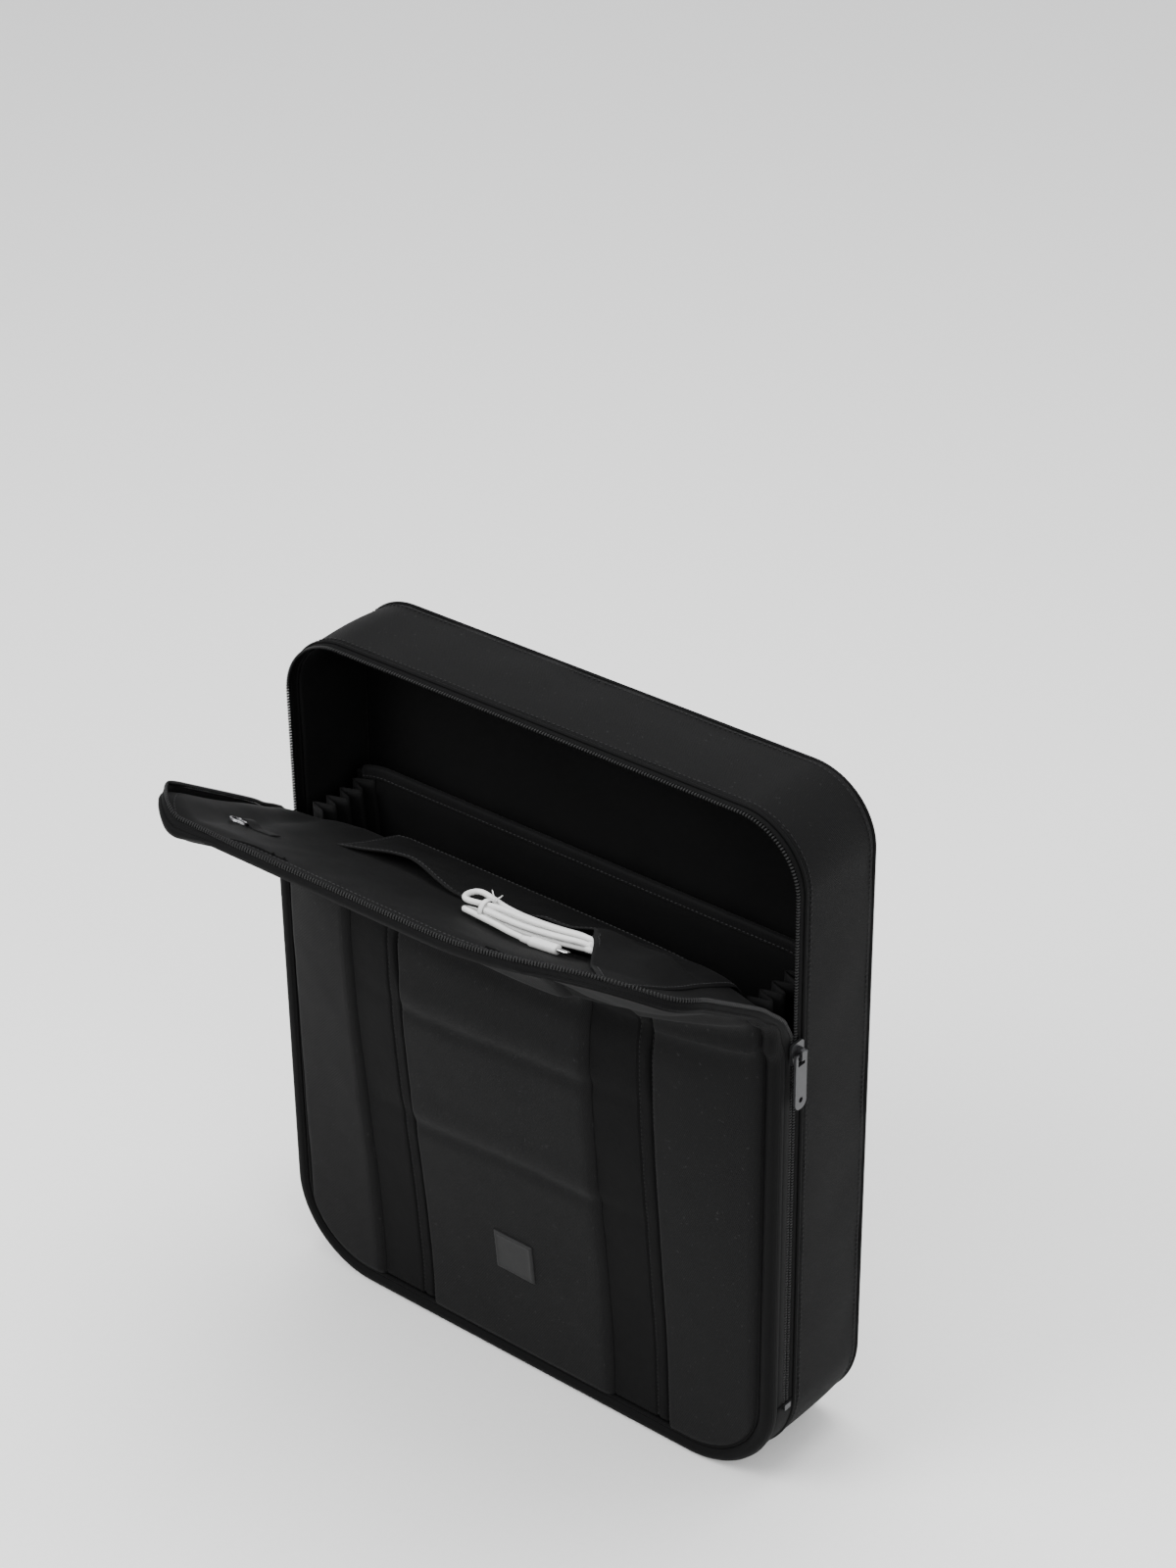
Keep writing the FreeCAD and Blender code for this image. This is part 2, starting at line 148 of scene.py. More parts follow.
def grid_faces(rows, columns, wrap_rows=False, wrap_columns=False, start=0):
    faces = []
    for i in range(rows if wrap_rows else rows - 1):
        for j in range(columns if wrap_columns else columns - 1):
            a, b = i * columns + j, i * columns + (j + 1) % columns
            c, d = ((i + 1) % rows) * columns + (j + 1) % columns, ((i + 1) % rows) * columns + j
            faces.append((start + a, start + b, start + c, start + d))
    return faces


def make(name, points, faces, material, smooth_faces=True):
    mesh = bpy.data.meshes.new(name)
    mesh.from_pydata((np.asarray(points) * MM).tolist(), [], faces)
    mesh.validate()
    mesh.update()
    for face in mesh.polygons:
        face.use_smooth = smooth_faces
    obj = bpy.data.objects.new(name, mesh)
    bpy.context.collection.objects.link(obj)
    mesh.materials.append(material)
    return obj


def outward(obj):
    """Turns a closed mesh's faces outward."""
    work = bmesh.new()
    work.from_mesh(obj.data)
    bmesh.ops.recalc_face_normals(work, faces=work.faces)
    work.to_mesh(obj.data)
    work.free()
    return obj


def closed_pad(name, front, back, shape, material):
    """A closed pad between two grids of points, joined round their edges."""
    r, c = shape
    faces = grid_faces(r, c) + [f[::-1] for f in grid_faces(r, c, start=r * c)]
    edge = [j for j in range(c)] + [i * c + c - 1 for i in range(1, r)]
    edge += [(r - 1) * c + j for j in range(c - 2, -1, -1)] + [i * c for i in range(r - 2, 0, -1)]
    for a, b in zip(edge, edge[1:] + edge[:1]):
        faces.append((b, a, a + r * c, b + r * c))
    return outward(make(name, np.concatenate([front, back]), faces, material))


def closed_tube(name, points, rings, sides, material):
    """A closed tube from its rings of points."""
    faces = grid_faces(rings, sides, wrap_columns=True)
    faces += [tuple(range(sides)), tuple((rings - 1) * sides + k for k in range(sides))]
    return outward(make(name, points, faces, material))


def layer(x, y, z):
    """A grid's points, row by row."""
    return np.stack([x.ravel(), y.ravel(), z.ravel()], 1)


def edge_order(count):
    """Each place's number counted from the nearer end."""
    order = np.arange(count)
    return np.minimum(order, order[::-1])


def dressed(obj, slot, *nodes):
    """Puts a piece in the place of CAD nodes, which it hides."""
    if nodes:
        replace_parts(obj, *nodes)
    return obj


def fitted(obj, body, slot, *nodes):
    """Rides a piece on a body, in the place of CAD nodes."""
    return dressed(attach(obj, body), slot, *nodes)


def hinged(obj):
    """A piece already shaped round the flap's fold, with its placement baked into its mesh."""
    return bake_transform(obj)


def bottom_at(x, inset):
    """Height of the outline's lower side over x."""
    past = np.clip(np.abs(x) - (HALF - LOW_RADIUS), 0, None)
    return LOW_RADIUS - np.sqrt(np.clip((LOW_RADIUS - inset) ** 2 - past**2, 0, None))


def top_at(x, inset):
    """Height of the outline's upper side over x."""
    past = np.clip(np.abs(x) - (HALF - TOP_RADIUS), 0, None)
    return TALL - TOP_RADIUS + np.sqrt(np.clip((TOP_RADIUS - inset) ** 2 - past**2, 0, None))


def outline():
    """Rows of x, z and the outward direction, once round from the middle of the top, down the left side."""
    rows = []

    def line(x0, z0, x1, z1, nx, nz):
        count = max(1, round(math.hypot(x1 - x0, z1 - z0) / STEP))
        t = np.arange(count) / count
        rows.append(np.stack([x0 + (x1 - x0) * t, z0 + (z1 - z0) * t, nx + 0 * t, nz + 0 * t], 1))

    def arc(cx, cz, radius, first):
        count = round(radius * math.pi / 2 / STEP)
        angle = math.radians(first) + math.pi / 2 * np.arange(count) / count
        across, up = np.cos(angle), np.sin(angle)
        rows.append(np.stack([cx + radius * across, cz + radius * up, across, up], 1))

    low, top = HALF - LOW_RADIUS, HALF - TOP_RADIUS
    line(0, TALL, -top, TALL, 0, 1)
    arc(-top, TALL - TOP_RADIUS, TOP_RADIUS, 90)
    line(-HALF, TALL - TOP_RADIUS, -HALF, LOW_RADIUS, -1, 0)
    arc(-low, LOW_RADIUS, LOW_RADIUS, 180)
    line(-low, 0, low, 0, 0, -1)
    arc(low, LOW_RADIUS, LOW_RADIUS, 270)
    line(HALF, LOW_RADIUS, HALF, TALL - TOP_RADIUS, 1, 0)
    arc(top, TALL - TOP_RADIUS, TOP_RADIUS, 0)
    line(top, TALL, 0, TALL, 0, 1)
    return np.concatenate(rows)


def upper_outline():
    """The zipped part of the outline, from the right side's foot over the top to the left one's."""
    rows = outline()
    first = len(rows) // 2
    rows = np.roll(rows, -first, axis=0)
    return rows[rows[:, 1] >= ZIP_FOOT - 0.1]


def lower_outline():
    rows = outline()
    return rows[rows[:, 1] <= ZIP_FOOT + 0.1]


def sweep(name, path, profile, material, closed_path=False, closed_profile=True, move=None):
    """A strip along the outline. profile(path) gives its insets and depths, one row for each path row."""
    inset, depth = (np.broadcast_to(v, (len(path), np.shape(v)[-1])) for v in profile(path))
    x = path[:, :1] - inset * path[:, 2:3]
    z = np.maximum(path[:, 1:2] - inset * path[:, 3:4], 0.05)
    points = np.stack([x.ravel(), depth.ravel(), z.ravel()], 1)
    columns = inset.shape[1]
    faces = grid_faces(len(path), columns, closed_path, closed_profile)
    if closed_profile and not closed_path:
        faces += [tuple(range(columns)), tuple((len(path) - 1) * columns + j for j in range(columns))[::-1]]
    if move is not None:
        points = move(points)
    obj = make(name, points, faces, material)
    return outward(obj) if closed_profile else obj


PELLET_RINGS = ((-1.0, 0.0), (-0.72, 0.72), (0.0, 1.0), (0.72, 0.72), (1.0, 0.0))
PELLET_SIDES = 6


def pellets(name, places, along, off, half_length, half_wide, half_high, material):
    """Many small rounded bars: stitches and zip teeth, each along one direction and standing off another."""
    along = along / np.linalg.norm(along, axis=1, keepdims=True)
    off = off - (off * along).sum(1, keepdims=True) * along
    off = off / np.linalg.norm(off, axis=1, keepdims=True)
    side = np.cross(along, off)
    shape = [(-1.0, 0.0, 0.0)]
    for reach, girth in PELLET_RINGS[1:-1]:
        for k in range(PELLET_SIDES):
            angle = 2 * math.pi * k / PELLET_SIDES
            shape.append((reach, girth * math.cos(angle), girth * math.sin(angle)))
    shape.append((1.0, 0.0, 0.0))
    shape = np.array(shape)
    points = (
        places[:, None]
        + along[:, None] * (shape[:, :1] * half_length)
        + side[:, None] * (shape[:, 1:2] * half_wide)
        + off[:, None] * (shape[:, 2:3] * half_high)
    )
    one, last, n = [], len(shape) - 1, PELLET_SIDES
    for k in range(n):
        follow = (k + 1) % n
        one.append((0, 1 + follow, 1 + k))
        for ring in range(len(PELLET_RINGS) - 3):
            a = 1 + ring * n
            one.append((a + k, a + follow, a + n + follow, a + n + k))
        a = last - n
        one.append((a + k, a + follow, last))
    faces = [tuple(i * len(shape) + v for v in face) for i in range(len(places)) for face in one]
    return outward(make(name, points.reshape(-1, 3), faces, material))


def spaced(line, pitch):
    """Places and directions every pitch along a polyline."""
    runs = np.linalg.norm(np.diff(line, axis=0), axis=1)
    total = np.concatenate([[0], np.cumsum(runs)])
    at = np.arange(pitch / 2, total[-1], pitch)
    places = np.stack([np.interp(at, total, line[:, k]) for k in range(3)], 1)
    ahead = np.stack([np.interp(at + pitch / 4, total, line[:, k]) for k in range(3)], 1)
    behind = np.stack([np.interp(at - pitch / 4, total, line[:, k]) for k in range(3)], 1)
    return places, ahead - behind


def stitches(name, lines, off, material, pitch=3.4, length=2.3, thick=0.62):
    """Rows of stitches along polylines, each with the direction that its cloth faces."""
    places, along, away = [], [], []
    for line, direction in zip(lines, off):
        p, d = spaced(line, pitch)
        places.append(p)
        along.append(d)
        away.append(np.broadcast_to(direction, p.shape))
    return pellets(
        name,
        np.concatenate(places),
        np.concatenate(along),
        np.concatenate(away),
        length / 2,
        thick / 2,
        thick / 2.4,
        material,
    )


# ---------------------------------------------------------------- materials
def node_tools(name):
    material = bpy.data.materials.new(name)
    material.use_nodes = True
    tree = material.node_tree
    shader = next(n for n in tree.nodes if n.type == "BSDF_PRINCIPLED")

    def node(kind, **values):
        made = tree.nodes.new(kind)
        for key, value in values.items():
            if key in made.inputs:
                made.inputs[key].default_value = value
            else:
                setattr(made, key, value)
        return made

    def maths(operation, a, b=None):
        made = node("ShaderNodeMath", operation=operation)
        for k, value in enumerate((a, b)):
            if value is None:
                continue
            if isinstance(value, (int, float)):
                made.inputs[k].default_value = value
            else:
                tree.links.new(value, made.inputs[k])
        return made.outputs[0]

    return material, tree, shader, node, maths


def mottled(tree, node, colour, amount, size, detail=4.0):
    """A colour that varies softly over the surface."""
    place = node("ShaderNodeTexCoord")
    patches = node("ShaderNodeTexNoise", Scale=1 / size, Detail=detail, Roughness=0.6)
    tree.links.new(place.outputs["Object"], patches.inputs["Vector"])
    ramp = node("ShaderNodeValToRGB")
    ramp.color_ramp.elements[0].position = 0.3
    ramp.color_ramp.elements[1].position = 0.7
    for element, share in zip(ramp.color_ramp.elements, (1 - amount, 1 + amount)):
        element.color = (*(c * share for c in colour), 1)
    tree.links.new(patches.outputs["Fac"], ramp.inputs["Fac"])
    return place, patches, ramp


def cloth(name, colour, pitch=0.9, depth=0.14, rough=0.82, sheen=0.25, amount=0.10, twill=False, lint=0.0):
    """Woven cloth: warp and weft, or a twill's diagonal, with soft colour patches and a little lint."""
    material, tree, shader, node, maths = node_tools(name)
    place, patches, ramp = mottled(tree, node, colour, amount, 0.05)
    split = node("ShaderNodeSeparateXYZ")
    tree.links.new(place.outputs["Object"], split.inputs[0])
    turns = 2 * math.pi / (pitch * MM)
    level = maths("ADD", split.outputs[0], split.outputs[1])
    warp = maths("SINE", maths("MULTIPLY", level, turns))
    weft = maths("SINE", maths("MULTIPLY", split.outputs[2], turns))
    height = maths("MULTIPLY", warp, weft)
    if twill:
        slant = maths("ADD", level, maths("MULTIPLY", split.outputs[2], 0.6))
        height = maths("ADD", maths("MULTIPLY", height, 0.4), maths("SINE", maths("MULTIPLY", slant, turns / 2)))
    fuzz = node("ShaderNodeTexNoise", Scale=900.0, Detail=3.0)
    tree.links.new(place.outputs["Object"], fuzz.inputs["Vector"])
    height = maths("ADD", height, maths("MULTIPLY", fuzz.outputs["Fac"], 1.2))
    bump = node("ShaderNodeBump", Strength=0.55, Distance=depth * MM)
    tree.links.new(height, bump.inputs["Height"])
    tree.links.new(bump.outputs[0], shader.inputs["Normal"])
    colour_out = ramp.outputs["Color"]
    if lint:
        specks = node("ShaderNodeTexNoise", Scale=420.0, Detail=2.0)
        tree.links.new(place.outputs["Object"], specks.inputs["Vector"])
        few = maths("MULTIPLY", maths("GREATER_THAN", specks.outputs["Fac"], 0.71), lint)
        mix = node("ShaderNodeMix", data_type="RGBA")
        tree.links.new(few, mix.inputs["Factor"])
        tree.links.new(colour_out, mix.inputs[6])
        mix.inputs[7].default_value = (0.2, 0.2, 0.2, 1)
        colour_out = mix.outputs[2]
    tree.links.new(colour_out, shader.inputs["Base Color"])
    spread = node("ShaderNodeMapRange")
    spread.inputs["To Min"].default_value = rough - 0.07
    spread.inputs["To Max"].default_value = rough + 0.07
    tree.links.new(patches.outputs["Fac"], spread.inputs["Value"])
    tree.links.new(spread.outputs[0], shader.inputs["Roughness"])
    shader.inputs["Sheen Weight"].default_value = sheen
    shader.inputs["Sheen Roughness"].default_value = 0.45
    shader.inputs["Specular IOR Level"].default_value = 0.10
    return material


def ribbed(name, colour, pitch, axis, rough=0.7, sheen=0.15):
    """Tape and webbing with ribs across one axis."""
    material, tree, shader, node, maths = node_tools(name)
    place, _, ramp = mottled(tree, node, colour, 0.12, 0.03)
    split = node("ShaderNodeSeparateXYZ")
    tree.links.new(place.outputs["Object"], split.inputs[0])
    turns = 2 * math.pi / (pitch * MM)
    ribs = maths("SINE", maths("MULTIPLY", split.outputs[axis], turns))
    fine = node("ShaderNodeTexNoise", Scale=1200.0, Detail=2.0)
    tree.links.new(place.outputs["Object"], fine.inputs["Vector"])
    height = maths("ADD", ribs, fine.outputs["Fac"])
    bump = node("ShaderNodeBump", Strength=0.5, Distance=0.12 * MM)
    tree.links.new(height, bump.inputs["Height"])
    tree.links.new(bump.outputs[0], shader.inputs["Normal"])
    tree.links.new(ramp.outputs["Color"], shader.inputs["Base Color"])
    shader.inputs["Roughness"].default_value = rough
    shader.inputs["Sheen Weight"].default_value = sheen
    shader.inputs["Specular IOR Level"].default_value = 0.08
    return material


def plain(name, colour, rough, metal=0.0, amount=0.05, grain=600.0, depth=0.02, coat=0.0, shine=0.5):
    """Moulded plastic, rubber or plated metal with fine grain and handling marks."""
    material, tree, shader, node, _ = node_tools(name)
    place, patches, ramp = mottled(tree, node, colour, amount, 0.004)
    tree.links.new(ramp.outputs["Color"], shader.inputs["Base Color"])
    fine = node("ShaderNodeTexNoise", Scale=grain, Detail=4.0)
    tree.links.new(place.outputs["Object"], fine.inputs["Vector"])
    bump = node("ShaderNodeBump", Strength=0.4, Distance=depth * MM)
    tree.links.new(fine.outputs["Fac"], bump.inputs["Height"])
    tree.links.new(bump.outputs[0], shader.inputs["Normal"])
    spread = node("ShaderNodeMapRange")
    spread.inputs["To Min"].default_value = max(rough - 0.08, 0.05)
    spread.inputs["To Max"].default_value = rough + 0.08
    tree.links.new(patches.outputs["Fac"], spread.inputs["Value"])
    tree.links.new(spread.outputs[0], shader.inputs["Roughness"])
    shader.inputs["Metallic"].default_value = metal
    shader.inputs["Coat Weight"].default_value = coat
    shader.inputs["Specular IOR Level"].default_value = shine
    return material


PANEL = cloth("panel_cloth", (0.0040, 0.0040, 0.0041), pitch=0.8, depth=0.10, sheen=0.016, twill=True, lint=0.05)
BAND = cloth("band_cloth", (0.0010, 0.0010, 0.0011), pitch=1.1, depth=0.16, sheen=0.006)
GUSSET = cloth("gusset_cloth", (0.0028, 0.0028, 0.0029), pitch=1.2, depth=0.20, sheen=0.02, lint=0.04)
LINING = cloth("lining_cloth", (0.0024, 0.0024, 0.0025), pitch=0.6, depth=0.07, rough=0.7, sheen=0.010, amount=0.14)
DEEP_LINING = cloth("deep_lining_cloth", (0.0034, 0.0034, 0.0035), pitch=0.6, depth=0.07, rough=0.65, sheen=0.01)
EDGE = ribbed("edge_ribbing", (0.0012, 0.0012, 0.0013), 1.3, 1, sheen=0.004)
TAPE = ribbed("tape_ribbing", (0.0014, 0.0014, 0.0015), 0.9, 1, sheen=0.005)
BINDING = ribbed("binding_ribbing", (0.0045, 0.0045, 0.0047), 1.0, 0, sheen=0.02)
COIL = plain("nylon_coil", (0.003, 0.003, 0.0032), 0.46, grain=900.0, shine=0.25)
THREAD = plain("sewing_thread", (0.006, 0.006, 0.0064), 0.6, grain=2500.0, amount=0.2, shine=0.2)
PALE_THREAD = plain("worn_thread", (0.026, 0.026, 0.027), 0.6, grain=2500.0, amount=0.25, shine=0.2)
METAL = plain("lacquered_zinc", (0.055, 0.055, 0.058), 0.34, metal=0.85, amount=0.12)
WIRE = plain("plated_wire", (0.30, 0.30, 0.31), 0.28, metal=1.0, amount=0.1)
RUBBER = plain("patch_rubber", (0.0105, 0.0105, 0.0107), 0.62, amount=0.06, depth=0.05, shine=0.2)
BOARD = plain("stiff_board", (0.04, 0.04, 0.042), 0.5, depth=0.04)
JACKET = plain("cable_jacket", (0.62, 0.62, 0.61), 0.5, amount=0.04, grain=300.0, coat=0.05)
PLATED = plain("plated_tip", (0.62, 0.62, 0.62), 0.25, metal=1.0, amount=0.08)
TIE = plain("tie_plastic", (0.62, 0.62, 0.61), 0.55, amount=0.04)


# ---------------------------------------------------------------- camera
EYE = Vector((1.0741, -1.2656, 1.3666))
EYE_AZIMUTH, EYE_ELEVATION, EYE_ROLL = (math.radians(a) for a in (39.77, 30.37, -0.72))


def make_camera():
    camera = bpy.data.objects.new("camera", bpy.data.cameras.new("camera"))
    bpy.context.collection.objects.link(camera)
    az, el, roll = EYE_AZIMUTH, EYE_ELEVATION, EYE_ROLL
    ahead = Vector((-math.sin(az) * math.cos(el), math.cos(az) * math.cos(el), -math.sin(el)))
    right = Vector((math.cos(az), math.sin(az), 0))
    up = right.cross(ahead)
    right, up = (
        math.cos(roll) * right + math.sin(roll) * up,
        -math.sin(roll) * right + math.cos(roll) * up,
    )
    turn = Matrix((right, up, -ahead)).transposed().to_4x4()
    camera.matrix_world = Matrix.Translation(EYE) @ turn
    camera.data.lens = 78.09
    camera.data.sensor_width = 36
    bpy.context.scene.camera = camera


make_camera()


# ---------------------------------------------------------------- cable
HANK_REACH, HANK_LIFT = 74.4, 24.6
HANK_X = (9.0, 107.0)
PLUG_REACH, PLUG_LIFT, PLUG_X = 86.5, 23.0, 62.0
FAR_END = (111.0, -5.0, 0.5)
# Each turn from the top down: half the width between its runs, half its loop's width, the lift of its
# runs and of its loop, how far the loop stays short of the hank's left end, and the loop's tilt.
TURNS = (
    (3.8, 6.5, 7.4, 6.8, -1.0, 2.4),
    (2.6, 5.5, 3.9, 4.6, 11.0, 0.6),
    (6.4, 7.0, 3.6, 3.8, 13.0, 0.4),
    (2.4, 5.5, 0.2, 0.8, 12.0, 0.0),
    (6.8, 7.6, 0.0, 0.2, 2.0, 0.0),
)


def hank_point(x, reach, lift):
    """A point in the hank, which rises to the right with the cloth and spreads at its left end."""
    swell = float(smooth((x - 50.0) / 45.0) * smooth((124.0 - x) / 24.0))
    rise = 0.8 * float(curl(x, HANK_REACH)) + 2.5 * swell
    spread = 1.2 - 0.35 * float(smooth((x - 10.0) / 95.0))
    return on_flap(x, HANK_LIFT + rise + lift * spread, HANK_REACH + reach)[0]


def plug_point(x):
    return on_flap(x, PLUG_LIFT + 0.8 * float(curl(x, PLUG_REACH)), PLUG_REACH)[0]


def cable_route():
    """The cable's control points: from the far plug, through the hank's turns, to the plug at the front."""
    points = [hank_point(*FAR_END)]
    left, right = HANK_X
    for k, (run, loop, low, high, short, tilt) in enumerate(TURNS):
        for x in (92.0, 70.0, 48.0, 32.0):
            points.append(hank_point(x - 2 * k % 5, -run, low))
        end = left + short
        for ahead, share in ((7, -1.0), (1.5, -0.86), (-0.5, 0.0), (1.5, 0.86), (7, 1.0)):
            points.append(hank_point(end + ahead, loop * share, high - tilt * share))
        if k == len(TURNS) - 1:
            continue
        for x in (34.0, 52.0, 74.0, 92.0):
            points.append(hank_point(x + 3 * k % 4, run, low))
        follow = TURNS[k + 1]
        end = right - k
        for ahead, share in ((-5, 1.0), (-0.5, 0.86), (1.5, 0.0), (-0.5, -0.86), (-5, -1.0)):
            points.append(hank_point(end + ahead, follow[1] * share, (low + follow[2]) / 2))
    for x, reach, lift in ((28.0, 7.4, -0.2), (38.0, 8.6, -0.4), (47.0, 10.4, -0.9), (54.0, 11.7, -1.2)):
        points.append(hank_point(x, reach, lift))
    points.append(plug_point(PLUG_X))
    return points


def make_cord(points):
    curve = bpy.data.curves.new("charging_cable", "CURVE")
    curve.dimensions = "3D"
    curve.bevel_depth = CORD_THICK / 2 * MM
    curve.bevel_resolution = 4
    curve.use_fill_caps = True
    spline = curve.splines.new("NURBS")
    spline.points.add(len(points) - 1)
    for control, point in zip(spline.points, points):
        control.co = (*(point * MM), 1)
    spline.order_u = 3
    spline.use_endpoint_u = True
    spline.resolution_u = 6
    cord = bpy.data.objects.new("charging_cable", curve)
    bpy.context.collection.objects.link(cord)
    curve.materials.append(JACKET)
    return cord


def lathe(name, centre, axis, up, stations, material, sides=28, squash=1.0):
    """A turned piece along an axis: stations are its distance along and its radius."""
    axis, up = Vector(axis).normalized(), Vector(up).normalized()
    side = axis.cross(up)
    centre = Vector(centre)
    points = []
    for along, radius in stations:
        for k in range(sides):
            angle = 2 * math.pi * k / sides
            points.append(
                centre + axis * along + side * radius * math.cos(angle) + up * radius * squash * math.sin(angle)
            )
    faces = grid_faces(len(stations), sides, wrap_columns=True)
    faces += [tuple(range(sides)), tuple((len(stations) - 1) * sides + k for k in range(sides))]
    return outward(make(name, points, faces, material))


def make_cable():
    cord = make_cord(cable_route())
    plug_at = plug_point(PLUG_X)
    along = plug_point(PLUG_X + 22.0) - plug_at
    plug = lathe(
        "cable_plug_shell",
        plug_at,
        along,
        FLAP_IN,
        (
            *((-3.0, 1.9), (0.0, 2.3), (3.0, 2.5), (3.4, 3.0), (4.5, 3.25)),
            *((14.0, 3.3), (21.0, 3.25), (21.8, 3.05), (22.0, 2.6)),
        ),
        JACKET,
        squash=0.92,
    )
    tip = lathe(
        "cable_plug_tip_shell",
        plug_at + along,
        along,
        FLAP_IN,
        ((-0.5, 2.3), (0.6, 2.5), (5.8, 2.5), (6.9, 2.2), (7.2, 1.6)),
        PLATED,
        squash=0.48,
    )
    far_at = hank_point(FAR_END[0] - 3.0, *FAR_END[1:])
    far = lathe(
        "cable_far_plug_shell",
        far_at,
        hank_point(FAR_END[0] + 22.0, *FAR_END[1:]) - far_at,
        FLAP_IN,
        ((0.0, 1.9), (3.0, 2.3), (5.0, 2.6), (5.5, 4.6), (7.0, 5.4), (22.0, 5.4), (24.5, 5.0), (25.5, 4.0)),
        JACKET,
        squash=0.58,
    )
    for piece in (cord, plug, tip, far):
        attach(piece, "cable")
    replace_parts(cord, "cable_hank")
    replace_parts(plug, "cable_plug")
    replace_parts(tip, "cable_plug_tip")
    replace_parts(far, "cable_far_plug")
    tie = make_tie()
    fitted(tie, "cable", "tie", "cable_tie")
    start = hank_point(*FAR_END) * MM


def make_tie():
    """A twist tie round the hank: a flat band whose two ends stand up, twisted together."""
    ring = []
    across, high, middle = 9.4, 5.2, 3.6
    for k in range(32):
        angle = 2 * math.pi * k / 32
        c, s = math.cos(angle), math.sin(angle)
        over = middle + high * math.copysign(abs(s) ** 0.8, s)
        ring.append((across * math.copysign(abs(c) ** 0.7, c), over))
    points = []
    for x, grow in ((23.6, -0.3), (24.0, 0.2), (26.0, 0.2), (26.4, -0.3)):
        points += [hank_point(x, r * (1 + grow / across), l + grow * np.sign(l - middle)) for r, l in ring]
    faces = grid_faces(4, 32, wrap_columns=True)
    for x, lean in ((20.5, -1.5), (29.0, 2.5)):
        base = len(points)
        for step in range(7):
            t = step / 6
            width = 0.95 * (1 - 0.5 * t)
            twist = 2.4 * math.pi * t
            for corner in range(4):
                turn = twist + math.pi / 4 + corner * math.pi / 2
                points.append(
                    hank_point(
                        25 + (x - 25) * t + width * 0.9 * math.cos(turn),
                        -2.0 + lean * 0.3 * t + width * 0.55 * math.sin(turn),
                        middle + high - 0.6 + 4.2 * t,
                    )
                )
        faces += grid_faces(7, 4, wrap_columns=True, start=base)
        faces += [tuple(base + k for k in range(4)), tuple(base + 24 + k for k in range(4))]
    return outward(make("twist_tie", points, faces, TIE))


make_cable()


# ---------------------------------------------------------------- padded front and flap
def crown(x, z):
    """How far the padded front stands out: most at the middle of the fold, nearly none at the outline."""
    across = 1 - np.clip(np.abs(x) / 184, 0, 1) ** 3.2
    below = 1.5 + 20.5 * smooth((z - 15) / 268)
    above = 22 - 21.5 * smooth((z - 283) / 85)
    belly = 7.0 * hump((x - 146) / 52) * hump((z - 388) / 46)
    return across * np.where(z < 283, below, above) + belly


def tuck(x, z):
    """The two soft tucks pulled across the front."""
    deep = 0
    for k, level in enumerate(TUCKS):
        slant = 0.035 * x + 1.5 * np.sin(x / 31 + k)
        d = z - level - slant
        side = 0.25 + 0.75 * smooth((76 - np.abs(x)) / 8)
        side = side * smooth((118 - np.abs(x)) / 30)
        deep = deep + side * (1.7 * np.exp(-((d / 5.0) ** 2)) - 1.3 * np.exp(-(((d - 13) / 11) ** 2)))
    return deep


def rim_taper(x, z):
    """How far the padding thins towards the zip along the flap's free edge."""
    middle = np.maximum(smooth((150 - np.abs(x + 12)) / 70), 0.62 * smooth((x - 60) / 60))
    right = smooth((x - 110) / 60)
    return (2.0 + 8.8 * middle) * smooth((z - 325 + 10 * right) / (112 - 80 * right))


def front_depth(x, z):
    """Depth of the padded front before its seams."""
    points = np.stack([x.ravel(), 0 * x.ravel(), z.ravel()], 1)
    loose = 0.55 * uneven(points, 46.0, 3.0) + 0.22 * uneven(points, 17.0, 9.0)
    return FACE - crown(x, z) + tuck(x, z) + rim_taper(x, z) - loose.reshape(x.shape) * smooth(z / 40)


def rolled(d, radius):
    """How far a rounded edge falls back at a distance from it."""
    inside = np.clip(radius - d, 0, radius)
    return radius - np.sqrt(radius**2 - inside**2)


# Each upright strip of the front: its edges, recess, roll radii, and where its twin seams lie.
STRIPS = {
    "side_panel_left": (-PANEL_END, -BAND_OUT, 0.0, 7.0, 8.5, ()),
    "band_left": (-BAND_OUT - 1, -BAND_IN + 0.3, 3.4, 0.8, 0.8, (-83.0, -74.5)),
    "middle_panel": (-BAND_IN, BAND_IN, 0.0, 2.6, 9.0, ()),
    "band_right": (BAND_IN - 1, BAND_OUT + 0.3, 3.4, 0.8, 0.8, (103.5, 112.0)),
    "side_panel_right": (BAND_OUT, PANEL_END, 0.0, 2.6, 7.0, ()),
}
PAD_DEEP = 10.0


def strip_columns(low, high, radii, seams):
    """Places across a strip, closer together at its rolled edges and seams."""
    places = set(np.linspace(low, high, int((high - low) / STEP) + 1))
    for edge, radius, sign in ((low, radii[0], 1), (high, radii[1], -1)):
        places |= {edge + sign * radius * share for share in (0.06, 0.16, 0.3, 0.48, 0.7, 1.0)}
    for seam in seams:
        places |= {seam + shift for shift in (-1.6, -0.8, 0, 0.8, 1.6)}
    return np.array(sorted(places))


